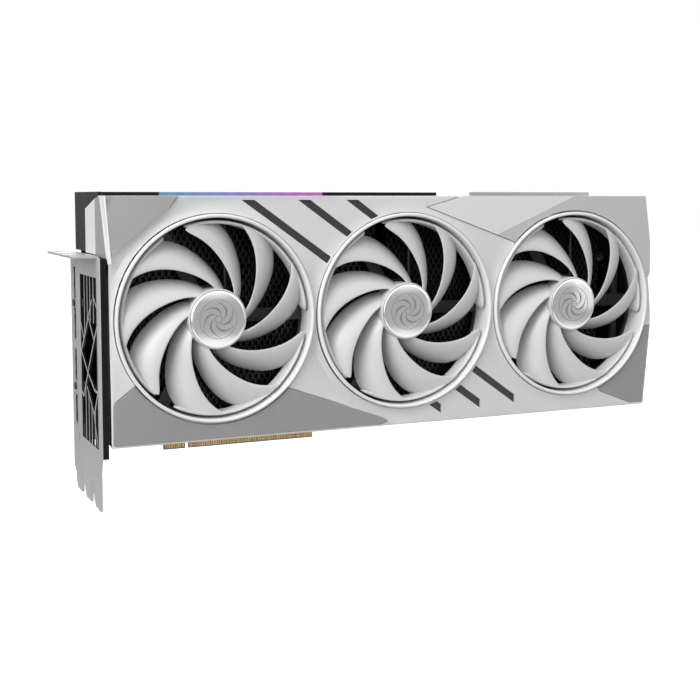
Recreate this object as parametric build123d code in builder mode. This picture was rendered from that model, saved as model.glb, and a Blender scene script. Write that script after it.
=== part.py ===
from build123d import *
from math import cos, radians, sin, sqrt
import os

# A triple-fan graphics card, three slots wide, as the separate pieces it is assembled from.
#
# Origin: the middle of the edge connector's key notch, on the connector's lower edge and the
# circuit board's mid-plane. +X runs to the far end of the card, +Z to its top edge, and the fans
# face -Y. A "depth" is a distance in front of the board's mid-plane, towards -Y; the backplate
# therefore lies at negative depths.

os.makedirs("parts", exist_ok=True)

# ---- driving dimensions, mm ------------------------------------------------------------------

# circuit board
board_thick = 1.6
board_left = -54.0
board_right = 176.0
board_top = 127.0
board_shoulder = 8.6
board_front = board_thick / 2

# edge connector, by the expansion-card standard: 1 mm contacts, key notch after the short group
contact_pitch = 1.0
contact_width = 0.7
contact_thick = 0.05
contact_low = 0.6
contact_high = 5.6
key_width = 1.9
key_height = 7.8
short_group = 11.65
long_group = 71.35
short_contacts = 11
long_contacts = 71

# fans
fan_count = 3
fan_pitch = 102.4
fan_first_x = -0.7
fan_z = 74.1
blade_count = 9
hub_radius = 15.5
hub_wall = 1.3
hub_back = 45.5
hub_front = 56.3
cap_radius = 13.6
cap_thick = 0.6
blade_depth = 49.9
blade_thick = 1.3
rim_inner = 45.6
rim_outer = 47.2
rim_back = 46.6
rim_front = 54.6
shaft_radius = 1.5
bearing_bore = 1.52
bearing_radius = 3.0
boss_radius = 4.2
magnet_inner = 12.4
stator_radius = 11.6

# fan frame and the bright ring round each fan
frame_back = 41.5
frame_plate = 2.0
duct_inner = 48.5
duct_radius = 49.5
ring_lip = 50.3
ring_crest = 57.3
running_gap = 0.1

# shroud
face_depth = 55.5
skirt_depth = 24.0
wall = 2.0
shroud_top = 133.0
shroud_bottom = 15.0
shroud_left = -53.0
shroud_right = 256.4
panel_thick = 1.4
panel_pocket = 1.0
panel_gap = 0.15

# cooler
fin_thick = 0.5
fin_pitch = 3.2
fin_back = 9.6
fin_front = 38.6
fin_bottom = 20.0
fin_top = 124.4
pipe_radius = 3.0
pipe_count = 6
pipe_pitch = 11.0
pipe_depth = 10.4
pipe_return_depth = 30.4
pipe_left = -38.0
pipe_right = 238.0
gpu_x = 45.0
gpu_z = 70.0
package_size = 45.0
package_thick = 1.8
die_size = 25.0
die_thick = 0.8

# bracket, by the expansion-card standard
slot_pitch = 20.32
bracket_face = -58.7
bracket_sheet = 1.0
bracket_top = 105.4
bracket_back_y = 4.36
bracket_front_y = -54.7
bracket_tip = 120.02
bracket_flange = 11.43
screw_notch_radius = 2.21
screw_notch_x = 6.4

# backplate and top edge
backplate_near = 1.6
backplate_thick = 1.4
top_edge = 135.3
housing_top = 134.9

fan_centres = [fan_first_x + fan_pitch * index for index in range(fan_count)]


def facing(depth):
    # a sketch plane parallel to the board, seen from the fan side
    return Plane.XZ.offset(depth)


def across(x):
    # a sketch plane square to the card's length: local x is Y, local y is Z
    return Plane.YZ.offset(x)


def block(low, high, mode=Mode.ADD):
    # a plain block between two opposite corners (x, depth, z)
    size = [abs(high[axis] - low[axis]) for axis in range(3)]
    middle = [(high[axis] + low[axis]) / 2 for axis in range(3)]
    with Locations((middle[0], -middle[1], middle[2])):
        Box(*size, mode=mode)


def save(part, name):
    part.label = name
    export_step(part, f"parts/{name}.step")


def place_at_fans(part, name):
    # one copy of a fan's piece at each fan, each in its own node
    for index, centre in enumerate(fan_centres):
        save(Pos(centre, 0, fan_z) * part, f"fan_{index + 1}_{name}")


# ---- circuit board ---------------------------------------------------------------------------

tab_left = -key_width / 2 - short_group
tab_right = key_width / 2 + long_group
hook_left = tab_right + 4.0
hook_width = 7.0
hook_low = 3.2
gpu_screw_span = 62.0
gpu_hole_radius = 1.7
screw_hole_radius = 1.3
plate_gpu_hole_radius = 2.3
plate_hole_radius = 1.6
tab_chamfer = 0.35
board_screws = [(-44, 118), (-34, 20), (84, 118), (96, 20), (168, 108), (168, 20)]

with BuildPart() as circuit_board:
    with BuildSketch(facing(-board_front)):
        with Locations(((board_left + board_right) / 2, (board_shoulder + board_top) / 2)):
            Rectangle(board_right - board_left, board_top - board_shoulder)
        with Locations(((tab_left + tab_right) / 2, board_shoulder / 2)):
            Rectangle(tab_right - tab_left, board_shoulder)
        with Locations((hook_left + hook_width / 2, (hook_low + board_shoulder) / 2)):
            Rectangle(hook_width, board_shoulder - hook_low)
        with Locations((0, key_height / 2)):
            Rectangle(key_width, key_height, mode=Mode.SUBTRACT)
        with Locations((gpu_x, gpu_z)):
            with GridLocations(gpu_screw_span, gpu_screw_span, 2, 2):
                Circle(gpu_hole_radius, mode=Mode.SUBTRACT)
        with Locations(*board_screws):
            Circle(screw_hole_radius, mode=Mode.SUBTRACT)
    extrude(amount=board_thick)
    tab_tips = circuit_board.edges().filter_by(Axis.X).group_by(Axis.Z)[0]
    chamfer(tab_tips, length=tab_chamfer)
save(circuit_board.part, "circuit_board")

with BuildPart() as edge_contacts:
    short_middle = -key_width / 2 - short_group / 2
    long_middle = key_width / 2 + long_group / 2
    for side in (-1, 1):
        with BuildSketch(facing(side * board_front)):
            with Locations((short_middle, (contact_low + contact_high) / 2)):
                with GridLocations(contact_pitch, 1, short_contacts, 1):
                    Rectangle(contact_width, contact_high - contact_low)
            with Locations((long_middle, (contact_low + contact_high) / 2)):
                with GridLocations(contact_pitch, 1, long_contacts, 1):
                    Rectangle(contact_width, contact_high - contact_low)
        extrude(amount=side * contact_thick)
save(edge_contacts.part, "edge_contacts")

# ---- chips and other parts soldered to the board ---------------------------------------------

package_front = board_front + package_thick
die_front = package_front + die_thick

with BuildPart() as gpu_package:
    with BuildSketch(facing(board_front)):
        with Locations((gpu_x, gpu_z)):
            RectangleRounded(package_size, package_size, 1.0)
    extrude(amount=package_thick)
save(gpu_package.part, "gpu_package")

with BuildPart() as gpu_die:
    with BuildSketch(facing(package_front)):
        with Locations((gpu_x, gpu_z)):
            Rectangle(die_size, die_size)
    extrude(amount=die_thick)
    fillet(gpu_die.edges().filter_by(Axis.Y), radius=0.4)
save(gpu_die.part, "gpu_die")

# eight memory chips stand round three sides of the package, each under its own thermal pad
memory_long = 14.0
memory_short = 12.0
memory_thick = 1.1
memory_reach = 33.0
memory_step = 16.0
memory_spots = [(gpu_x + side * memory_reach, gpu_z + row * memory_step)
                for side in (-1, 1) for row in (-1, 0, 1)]
memory_spots += [(gpu_x + side * memory_step / 2, gpu_z + memory_reach) for side in (-1, 1)]

with BuildPart() as memory_chips:
    with BuildSketch(facing(board_front)):
        with Locations(*memory_spots):
            Rectangle(memory_short, memory_long)
    extrude(amount=memory_thick)
save(memory_chips.part, "memory_chips")

with BuildPart() as thermal_pads:
    with BuildSketch(facing(board_front + memory_thick)):
        with Locations(*memory_spots):
            Rectangle(memory_short - 1, memory_long - 1)
    extrude(amount=die_front - board_front - memory_thick)
save(thermal_pads.part, "thermal_pads")

# power parts stand in columns left and right of the processor
choke_columns = [(104.0, 8), (-16.0, 6)]
choke_size = 8.0
choke_tall = 5.0
choke_pitch = 11.0
stage_offset = 9.0
stage_size = 5.4
stage_tall = 0.9
capacitor_offset = 12.0
capacitor_radius = 3.3
capacitor_tall = 5.6


def column_spots(offset):
    # the spots of one column, a step away from the chokes on the side named by the offset's sign
    spots = []
    for centre, count in choke_columns:
        for row in range(count):
            spots.append((centre + offset, gpu_z + (row - (count - 1) / 2) * choke_pitch))
    return spots


with BuildPart() as chokes:
    with BuildSketch(facing(board_front)):
        with Locations(*column_spots(0)):
            RectangleRounded(choke_size, choke_size, 0.6)
    extrude(amount=choke_tall)
save(chokes.part, "chokes")

with BuildPart() as power_stages:
    with BuildSketch(facing(board_front)):
        with Locations(*column_spots(-stage_offset)):
            Rectangle(stage_size, stage_size)
    extrude(amount=stage_tall)
save(power_stages.part, "power_stages")

with BuildPart() as capacitors:
    with BuildSketch(facing(board_front)):
        with Locations(*column_spots(capacitor_offset)):
            Circle(capacitor_radius)
    extrude(amount=capacitor_tall)
    fillet(capacitors.faces().sort_by(Axis.Y)[0].edges(), radius=0.5)
save(capacitors.part, "capacitors")

# sixteen-pin power socket, mouth upwards at the board's top edge
socket_x = 161.0
socket_width = 21.0
socket_deep = 8.4
socket_low = 117.5
socket_high = 130.5
socket_wall = 1.2
socket_cavity = 9.5

with BuildPart() as power_socket:
    block((socket_x - socket_width / 2, board_front, socket_low),
          (socket_x + socket_width / 2, board_front + socket_deep, socket_high))
    fillet(power_socket.edges().filter_by(Axis.Z), radius=0.6)
    with BuildSketch(Plane.XY.offset(socket_high)):
        with Locations((socket_x, -board_front - socket_deep / 2)):
            Rectangle(socket_width - 2 * socket_wall, socket_deep - 2 * socket_wall)
    extrude(amount=-socket_cavity, mode=Mode.SUBTRACT)
save(power_socket.part, "power_socket")

# ---- display sockets at the bracket ----------------------------------------------------------

port_depth = 3.6
port_tall = 5.6
port_shell = 0.5
port_mouth = bracket_face + 0.2
port_inner = -40.0
port_cavity = 12.0
displayport_z = [90.0, 69.4, 48.4]
displayport_width = 17.0
hdmi_z = 26.0
hdmi_width = 15.6


def port(z, width):
    # a sheet-metal socket shell with an open mouth towards the bracket
    with BuildSketch(across(port_mouth)) as shell:
        with Locations((-port_depth, z)):
            RectangleRounded(port_tall, width, 0.8)
    extrude(shell.sketch, amount=port_inner - port_mouth)
    with BuildSketch(across(port_mouth)) as mouth:
        with Locations((-port_depth, z)):
            RectangleRounded(port_tall - 2 * port_shell, width - 2 * port_shell, 0.4)
    extrude(mouth.sketch, amount=port_cavity, mode=Mode.SUBTRACT)


with BuildPart() as displayport_sockets:
    for height in displayport_z:
        port(height, displayport_width)
save(displayport_sockets.part, "displayport_sockets")

with BuildPart() as hdmi_socket:
    port(hdmi_z, hdmi_width)
save(hdmi_socket.part, "hdmi_socket")

# ---- cold plate and heat pipes ---------------------------------------------------------------

plate_half_width = 42.0
plate_half_height = 43.0
plate_thick = 6.0
pipe_heights = [gpu_z + (index - (pipe_count - 1) / 2) * pipe_pitch for index in range(pipe_count)]
straight_heights = pipe_heights[1:-1]
bent_heights = [pipe_heights[0], pipe_heights[-1]]
pipe_bend = (pipe_return_depth - pipe_depth) / 2
return_left = 112.0

with BuildPart() as cold_plate:
    with BuildSketch(facing(die_front)):
        with Locations((gpu_x, gpu_z)):
            RectangleRounded(2 * plate_half_width, 2 * plate_half_height, 2.0)
    extrude(amount=plate_thick)
    with BuildSketch(across(gpu_x - plate_half_width)):
        with Locations(*[(-pipe_depth, height) for height in pipe_heights]):
            Circle(pipe_radius)
    extrude(amount=2 * plate_half_width, mode=Mode.SUBTRACT)
save(cold_plate.part, "cold_plate")

with BuildPart() as heat_pipes_straight:
    with BuildSketch(across(pipe_left)):
        with Locations(*[(-pipe_depth, height) for height in straight_heights]):
            Circle(pipe_radius)
    extrude(amount=pipe_right - pipe_left)
save(heat_pipes_straight.part, "heat_pipes_straight")

# two pipes leave the far end of the fins, turn back in a half circle and return higher up
with BuildPart() as heat_pipes_bent:
    for height in bent_heights:
        with BuildLine() as pipe_path:
            Line((pipe_left, -pipe_depth, height), (pipe_right, -pipe_depth, height))
            ThreePointArc((pipe_right, -pipe_depth, height),
                          (pipe_right + pipe_bend, -pipe_depth - pipe_bend, height),
                          (pipe_right, -pipe_return_depth, height))
            Line((pipe_right, -pipe_return_depth, height), (return_left, -pipe_return_depth, height))
        with BuildSketch(across(pipe_left)) as pipe_section:
            with Locations((-pipe_depth, height)):
                Circle(pipe_radius)
        sweep(path=pipe_path.wire())
save(heat_pipes_bent.part, "heat_pipes_bent")

# ---- fin stacks ------------------------------------------------------------------------------

tie_thick = 0.6
tie_width = 3.0
tie_depths = [14.0, 34.0]
left_stack = (-46.0, 44)
right_stack = (98.8, 43)


def fin_stack(first_x, count, holes):
    # thin plates square to the card's length, tied along their upper and lower edges
    with BuildPart() as fin:
        with BuildSketch(across(0)):
            with Locations((-(fin_back + fin_front) / 2, (fin_bottom + fin_top) / 2)):
                Rectangle(fin_front - fin_back, fin_top - fin_bottom)
            with Locations(*holes):
                Circle(pipe_radius + running_gap, mode=Mode.SUBTRACT)
        extrude(amount=fin_thick)
    length = (count - 1) * fin_pitch + fin_thick
    with BuildPart() as stack:
        with Locations(*[(first_x + index * fin_pitch, 0, 0) for index in range(count)]):
            add(fin.part)
        for depth in tie_depths:
            for low in (fin_bottom, fin_top - tie_thick):
                block((first_x, depth - tie_width / 2, low),
                      (first_x + length, depth + tie_width / 2, low + tie_thick))
    return stack.part


low_holes = [(-pipe_depth, height) for height in pipe_heights]
high_holes = [(-pipe_return_depth, height) for height in bent_heights]

# the left stack stands on the cold plate, which is cleared from its fins
with BuildPart() as fin_stack_left:
    add(fin_stack(*left_stack, low_holes))
    with BuildSketch(facing(die_front)):
        with Locations((gpu_x, gpu_z)):
            Rectangle(2 * plate_half_width + 1, 2 * plate_half_height + 1)
    extrude(amount=plate_thick + running_gap, mode=Mode.SUBTRACT)
save(fin_stack_left.part, "fin_stack_left")
save(fin_stack(*right_stack, low_holes + high_holes), "fin_stack_right")

# ---- shroud ----------------------------------------------------------------------------------

notch_top = (shroud_right + 0.7, 90.3)
notch_inside = (shroud_right - 1.0, 86.9)
belly = (258.0, 60.0)
outline = [
    (-56.5, shroud_top),
    (252.4, shroud_top),
    (shroud_right, 108.0),
    notch_top,
    notch_inside,
    (257.6, 69.0),
    belly,
    (254.5, shroud_bottom),
    (shroud_left, shroud_bottom),
    (shroud_left, 104.0),
]

# the dark accent bars lie in slots that slope down to the right and stop short of the middle ring
slot_slope = radians(35)
slot_width = 3.8
slot_stop = 51.6
# a slot is its line's offset from the origin and its outer end: a height above, an X below
upper_slots = [(116.0, 131.0), (132.8, 131.0), (147.7, 131.0)]
lower_slots = [(115.8, 168.2), (102.5, 146.6), (88.0, 122.8)]
slot_centre_x = fan_centres[1]


def slot_at_height(offset, z):
    # the point of the sloping line with this offset from the origin, at height z
    return ((offset - z * cos(slot_slope)) / sin(slot_slope), z)


def slot_at_x(offset, x):
    # the point of the same line at the position x
    return (x, (offset - x * sin(slot_slope)) / cos(slot_slope))


def slot_at_ring(offset, radius, side):
    # where that line meets a circle round the middle fan, on its left (-1) or right (+1) half
    centre_offset = slot_centre_x * sin(slot_slope) + fan_z * cos(slot_slope)
    away = offset - centre_offset
    along = side * sqrt(radius**2 - away**2)
    return (slot_centre_x + away * sin(slot_slope) + along * cos(slot_slope),
            fan_z + away * cos(slot_slope) - along * sin(slot_slope))


def slot_corners(offset, end, width, margin, upper):
    # the four corners of one slot, shortened by the margin at both ends
    low = offset - width / 2
    high = offset + width / 2
    ring = slot_stop + margin
    side = -1 if upper else 1
    outer_end = slot_at_height if upper else slot_at_x
    return [outer_end(low, end - margin), outer_end(high, end - margin),
            slot_at_ring(high, ring, side), slot_at_ring(low, ring, side)]


def slot_faces(offsets, width, margin, upper):
    # all slots of one group, drawn into the open sketch
    for offset, end in offsets:
        Polygon(*slot_corners(offset, end, width, margin, upper), align=None)


# four trim panels lie in shallow pockets of the face; the circles clear the bright rings
panel_circle = ring_lip + 0.9
panel_outlines = {
    "trim_panel_top_left": [(-56.5, 133.0), (-19.5, 133.0), (-24.2, 127.7), (-53.0, 104.0)],
    "trim_panel_bottom_left": [(-52.0, 36.0), (-41.0, 44.5), (0.0, 60.0), (34.0, 39.0), (88.0, 19.8),
                               (91.5, 17.5), (86.5, 16.0), (-52.0, 16.0)],
    "trim_panel_top_right": [(113.0, 127.3), (134.2, 133.0), (251.4, 133.0), (255.4, 108.0), (256.2, 90.6),
                             (254.6, 87.2), (204.0, 80.0), (166.0, 108.6)],
    "trim_panel_bottom_right": [(257.0, 60.0), (253.7, 16.0), (246.5, 16.0), (224.0, 24.4), (204.0, 60.0)],
}


def panel_face(points, inset):
    # one trim panel's outline, kept clear of the fan openings and shrunk by the inset
    with BuildSketch(mode=Mode.PRIVATE) as panel:
        Polygon(*points, align=None)
        with Locations(*[(centre, fan_z) for centre in fan_centres]):
            Circle(panel_circle, mode=Mode.SUBTRACT)
        if inset:
            offset(amount=-inset, kind=Kind.INTERSECTION)
    return panel.sketch


cheek_low = 106.0
cheek_front = 45.5
cheek_face = -57.0
cheek_inner = -54.6
cheek_chamfer_z = 127.0
cheek_cut_front = 50.5
opening_radius = duct_radius + running_gap

with BuildPart() as shroud:
    with BuildSketch(facing(skirt_depth)):
        Polygon(*outline, align=None)
    extrude(amount=face_depth - skirt_depth)
    # the left end closes over the bracket as a cheek with a bevelled front corner
    with BuildSketch(Plane.XY.offset(cheek_low)):
        Polygon((cheek_face, -skirt_depth), (cheek_face, -cheek_front), (outline[0][0], -face_depth),
                (cheek_inner, -face_depth), (cheek_inner, -skirt_depth), align=None)
    extrude(amount=shroud_top - cheek_low)
    # the skirt is hollow towards the fins
    with BuildSketch(facing(skirt_depth)):
        Polygon(*outline, align=None)
        offset(amount=-wall, kind=Kind.INTERSECTION, mode=Mode.REPLACE)
    extrude(amount=face_depth - wall - skirt_depth, mode=Mode.SUBTRACT)
    # the cheek's top corner is cut back
    with BuildSketch(across(cheek_face - 1)):
        Polygon((-skirt_depth, shroud_top + 1), (-skirt_depth, cheek_chamfer_z),
                (-cheek_cut_front, shroud_top), (-cheek_cut_front, shroud_top + 1), align=None)
    extrude(amount=cheek_inner - cheek_face + 1, mode=Mode.SUBTRACT)
    with BuildSketch(facing(face_depth - wall)):
        with Locations(*[(centre, fan_z) for centre in fan_centres]):
            Circle(opening_radius)
        slot_faces(upper_slots, slot_width, 0, True)
        slot_faces(lower_slots, slot_width, 0, False)
    extrude(amount=wall, mode=Mode.SUBTRACT)
    with BuildSketch(facing(face_depth - panel_pocket)):
        for points in panel_outlines.values():
            add(panel_face(points, 0))
    extrude(amount=panel_pocket, mode=Mode.SUBTRACT)
save(shroud.part, "shroud")

for panel_name, points in panel_outlines.items():
    with BuildPart() as trim_panel:
        with BuildSketch(facing(face_depth - panel_pocket)):
            add(panel_face(points, panel_gap))
        extrude(amount=panel_thick)
    save(trim_panel.part, panel_name)

# accent bars are recessed in their slots
bar_recess = 0.8
bar_thick = 1.2
bar_gap = 0.1
for group, offsets, upper in (("upper", upper_slots, True), ("lower", lower_slots, False)):
    with BuildPart() as accent_bars:
        with BuildSketch(facing(face_depth - bar_recess - bar_thick)):
            slot_faces(offsets, slot_width - 2 * bar_gap, bar_gap, upper)
        extrude(amount=bar_thick)
    save(accent_bars.part, f"accent_bars_{group}")

# bright ring: a short duct behind the face and a rounded lip on it
duct_back = frame_back + frame_plate
crest_round = 0.7
with BuildPart() as fan_ring:
    with BuildSketch(Plane.XY):
        Polygon((duct_inner, -duct_back), (duct_radius, -duct_back), (duct_radius, -face_depth),
                (ring_lip, -face_depth), (ring_lip, -ring_crest), (duct_inner, -ring_crest), align=None)
    revolve(axis=Axis.Y)
    crest = fan_ring.edges().filter_by(GeomType.CIRCLE).group_by(Axis.Y)[0]
    fillet(crest, radius=crest_round)
for index, centre in enumerate(fan_centres):
    save(Pos(centre, 0, fan_z) * fan_ring.part, f"fan_ring_{index + 1}")

# ---- fans, modelled about the fan's axis and then placed -------------------------------------

bearing_back = 43.8
bearing_front = 51.8
boss_front = 52.0
shaft_back = 44.0
shaft_chamfer = 0.2
stator_back = 45.0
stator_front = 51.6
stator_poles = 9
stator_shoe = 1.4
pole_width = 2.2
magnet_back = 46.0
magnet_front = 53.6
frame_disc = 15.8
cap_chamfer = 0.3
strut_width = 6.5
strut_count = 3
frame_ring_inner = 47.6


def ring_solid(outer, inner, back, front):
    # a flat ring, or with no inner radius a disc, about the fan's axis
    with BuildSketch(facing(back)) as ring:
        Circle(outer)
        if inner:
            Circle(inner, mode=Mode.SUBTRACT)
    extrude(ring.sketch, amount=front - back)


with BuildPart() as fan_frame:
    with BuildSketch(facing(frame_back)):
        Circle(ring_lip)
        Circle(frame_ring_inner, mode=Mode.SUBTRACT)
        Circle(frame_disc)
        with PolarLocations((frame_disc + frame_ring_inner) / 2, strut_count):
            Rectangle(frame_ring_inner - frame_disc + 1, strut_width)
    extrude(amount=frame_plate)
    ring_solid(boss_radius, 0, frame_back + frame_plate, boss_front)
    with BuildSketch(facing(bearing_back)):
        Circle(bearing_radius)
    extrude(amount=boss_front - bearing_back, mode=Mode.SUBTRACT)
place_at_fans(fan_frame.part, "frame")

with BuildPart() as fan_bearing:
    ring_solid(bearing_radius, bearing_bore, bearing_back, bearing_front)
place_at_fans(fan_bearing.part, "bearing")

with BuildPart() as fan_shaft:
    ring_solid(shaft_radius, 0, shaft_back, hub_front - hub_wall)
    chamfer(fan_shaft.faces().sort_by(Axis.Y)[-1].edges(), length=shaft_chamfer)
place_at_fans(fan_shaft.part, "shaft")

with BuildPart() as fan_stator:
    with BuildSketch(facing(stator_back)):
        Circle(stator_radius)
        Circle(stator_radius - stator_shoe, mode=Mode.SUBTRACT)
        with PolarLocations(stator_radius, stator_poles, start_angle=180 / stator_poles):
            Rectangle(2 * stator_shoe + 1, stator_shoe, mode=Mode.SUBTRACT)
        with PolarLocations((boss_radius + stator_radius) / 2, stator_poles):
            Rectangle(stator_radius - boss_radius - stator_shoe / 2, pole_width)
        Circle(boss_radius + stator_shoe)
        Circle(boss_radius, mode=Mode.SUBTRACT)
    extrude(amount=stator_front - stator_back)
place_at_fans(fan_stator.part, "stator")

with BuildPart() as fan_magnet_ring:
    ring_solid(hub_radius - hub_wall, magnet_inner, magnet_back, magnet_front)
place_at_fans(fan_magnet_ring.part, "magnet_ring")

with BuildPart() as fan_hub_cap:
    ring_solid(cap_radius, 0, hub_front, hub_front + cap_thick)
    chamfer(fan_hub_cap.faces().sort_by(Axis.Y)[0].edges(), length=cap_chamfer)
place_at_fans(fan_hub_cap.part, "hub_cap")

# each blade is lofted through curved sections; its front edge leads, counter-clockwise.
# A section is: radius, sweep of its middle in degrees, chord, pitch from the fan's plane, camber.
blade_sections = [
    (14.6, 0.0, 12.0, 52.8, 1.0),
    (20.0, 16.7, 14.2, 46.0, 1.4),
    (26.0, 28.2, 16.5, 39.4, 1.8),
    (36.0, 44.9, 20.4, 31.3, 2.4),
    (46.0, 60.2, 25.4, 24.1, 2.6),
]
blade_root_angle = -1.3
rim_span = 110.0
rim_starts = [3.0, 123.0, 243.0]
fan_rest_turns = [0.0, -3.7, -11.0]

with BuildPart() as blade:
    for radius, sweep_angle, chord, pitch, camber in blade_sections:
        turn = radians(blade_root_angle + sweep_angle)
        tilt = radians(pitch)
        outward = (cos(turn), 0, sin(turn))
        forward = (-sin(turn) * cos(tilt), -sin(tilt), cos(turn) * cos(tilt))
        section = Plane(origin=(radius * cos(turn), -blade_depth, radius * sin(turn)),
                        x_dir=forward, z_dir=outward)
        half = chord / 2
        edge = blade_thick / 4
        with BuildSketch(section):
            with BuildLine():
                ThreePointArc((-half, edge), (0, camber + blade_thick / 2), (half, edge))
                Line((half, edge), (half, -edge))
                ThreePointArc((half, -edge), (0, camber - blade_thick / 2), (-half, -edge))
                Line((-half, -edge), (-half, edge))
            make_face()
    loft()

with BuildPart() as fan_rotor:
    ring_solid(hub_radius, hub_radius - hub_wall, hub_back, hub_front)
    ring_solid(hub_radius, 0, hub_front - hub_wall, hub_front)
    for index in range(blade_count):
        add(blade.part.rotate(Axis.Y, -index * 360 / blade_count))
    # three rim arcs, each joining three blade tips
    for start in rim_starts:
        with BuildSketch(facing(rim_back)):
            with BuildLine():
                outer_arc = CenterArc((0, 0), rim_outer, start, rim_span)
                inner_arc = CenterArc((0, 0), rim_inner, start, rim_span)
                Line(outer_arc @ 0, inner_arc @ 0)
                Line(outer_arc @ 1, inner_arc @ 1)
            make_face()
        extrude(amount=rim_front - rim_back)
for index, (centre, turn) in enumerate(zip(fan_centres, fan_rest_turns)):
    save(Pos(centre, 0, fan_z) * Rot(0, -turn, 0) * fan_rotor.part, f"fan_{index + 1}_rotor")

# each fan's lead runs up behind the fan to the top of the fins and over them to a board header
lead_radius = 0.9
lead_depth = 40.2
lead_top = 126.4
lead_start = 9.0
lead_bend = 3.0
plug_depth = 7.0
plug_low = 121.0
plug_high = 128.5
plug_half = 4.0
header_xs = [fan_centres[0] + lead_start, fan_centres[1] + lead_start, 140.0]

with BuildPart() as fan_leads:
    for centre, header in zip(fan_centres, header_xs):
        corners = [(centre + lead_start, -lead_depth, fan_z), (centre + lead_start, -lead_depth, lead_top)]
        if header != centre + lead_start:
            corners.append((header, -lead_depth, lead_top))
        corners.append((header, -plug_depth, lead_top))
        with BuildLine() as lead_path:
            FilletPolyline(*corners, radius=lead_bend)
        with BuildSketch(Plane.XY.offset(fan_z)):
            with Locations((centre + lead_start, -lead_depth)):
                Circle(lead_radius)
        sweep(path=lead_path.wire())
save(fan_leads.part, "fan_leads")

with BuildPart() as fan_plugs:
    for header in header_xs:
        block((header - plug_half, board_front, plug_low), (header + plug_half, plug_depth, plug_high))
    fillet(fan_plugs.edges().filter_by(Axis.Y), radius=0.5)
save(fan_plugs.part, "fan_plugs")

# ---- mid frame, backplate and top edge -------------------------------------------------------

mid_front = 8.0
mid_wall = 2.0
mid_left = -53.0
mid_right = 254.0
mid_bottom = 13.0
mid_top = 131.0
rail_gap = 0.3

with BuildPart() as mid_frame:
    with BuildSketch(facing(-backplate_near)):
        with Locations(((mid_left + mid_right) / 2, (mid_bottom + mid_top) / 2)):
            Rectangle(mid_right - mid_left, mid_top - mid_bottom)
            Rectangle(mid_right - mid_left - 2 * mid_wall, mid_top - mid_bottom - 2 * mid_wall,
                      mode=Mode.SUBTRACT)
    extrude(amount=mid_front + backplate_near)
    # the rails are cut away where the board, its sockets and the edge connector pass them
    with BuildSketch(facing(-board_front - rail_gap)):
        with Locations(((board_left + board_right) / 2, mid_bottom + mid_wall / 2)):
            Rectangle(board_right - board_left + 2 * rail_gap, mid_wall + 1)
        with Locations((mid_left + mid_wall / 2, (mid_bottom + board_top) / 2)):
            Rectangle(mid_wall + 1, board_top - mid_bottom + 1)
        with Locations((socket_x, mid_top - mid_wall / 2)):
            Rectangle(socket_width + 1, mid_wall + 1)
    extrude(amount=mid_front + board_thick, mode=Mode.SUBTRACT)
save(mid_frame.part, "mid_frame")

# the backplate has slanted air slots beyond the board's end and a raised rim at the top right
vent_left = 186.0
vent_count = 6
vent_pitch = 10.0
vent_width = 5.5
vent_length = 86.0
vent_lean = -20
rim_left = 172.9
rim_right = 256.0
backplate_left = -53.0
backplate_bottom = 12.0
corner_cut = 4.0

with BuildPart() as backplate:
    with BuildSketch(facing(-backplate_near - backplate_thick)):
        Polygon((backplate_left, backplate_bottom), (rim_right - corner_cut, backplate_bottom),
                (rim_right, backplate_bottom + corner_cut), (rim_right, top_edge), (rim_left, top_edge),
                (rim_left, shroud_top), (backplate_left, shroud_top), align=None)
        with Locations(((vent_left + vent_left + (vent_count - 1) * vent_pitch) / 2, fan_z)):
            with GridLocations(vent_pitch, 1, vent_count, 1):
                SlotOverall(vent_length, vent_width, rotation=90 + vent_lean, mode=Mode.SUBTRACT)
        with Locations((gpu_x, gpu_z)):
            with GridLocations(gpu_screw_span, gpu_screw_span, 2, 2):
                Circle(plate_gpu_hole_radius, mode=Mode.SUBTRACT)
        with Locations(*board_screws):
            Circle(plate_hole_radius, mode=Mode.SUBTRACT)
    extrude(amount=backplate_thick)
save(backplate.part, "backplate")

screw_head_radius = 2.6
screw_head = 0.9
screw_socket_share = 0.42
screw_shank_radius = 1.2
gpu_screw_extra = 0.4
gpu_shank_radius = 1.5
screw_reach = 1.0
backplate_back = backplate_near + backplate_thick


def screws(spots, back, head, shank, shank_end):
    # cap screws seen from behind: a recessed head and a shank that ends inside the card
    with BuildSketch(facing(-back - screw_head)) as heads:
        with Locations(*spots):
            Circle(head)
    extrude(heads.sketch, amount=screw_head)
    with BuildSketch(facing(-back - screw_head)) as sockets:
        with Locations(*spots):
            Circle(head * screw_socket_share)
    extrude(sockets.sketch, amount=screw_head / 2, mode=Mode.SUBTRACT)
    with BuildSketch(facing(-back)) as shanks:
        with Locations(*spots):
            Circle(shank)
    extrude(shanks.sketch, amount=back + shank_end)


with BuildPart() as backplate_screws:
    screws(board_screws, backplate_back, screw_head_radius, screw_shank_radius, board_front + screw_reach)
save(backplate_screws.part, "backplate_screws")

# the processor's spring bracket is a flat cross with a raised middle, held by four screws
spring_thick = 1.0
spring_arm = 9.0
spring_middle = 17.0
spring_opening = 9.0
spring_hole_radius = 1.8
gpu_screw_spots = [(gpu_x + side * gpu_screw_span / 2, gpu_z + row * gpu_screw_span / 2)
                   for side in (-1, 1) for row in (-1, 1)]

with BuildPart() as spring_bracket:
    with BuildSketch(facing(-backplate_back - spring_thick)):
        with Locations((gpu_x, gpu_z)):
            with Locations(Rot(0, 0, 45), Rot(0, 0, -45)):
                SlotCenterToCenter(gpu_screw_span * sqrt(2), spring_arm)
            Circle(spring_middle)
            Circle(spring_opening, mode=Mode.SUBTRACT)
        with Locations(*gpu_screw_spots):
            Circle(spring_hole_radius, mode=Mode.SUBTRACT)
    extrude(amount=spring_thick)
save(spring_bracket.part, "spring_bracket")

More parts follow.
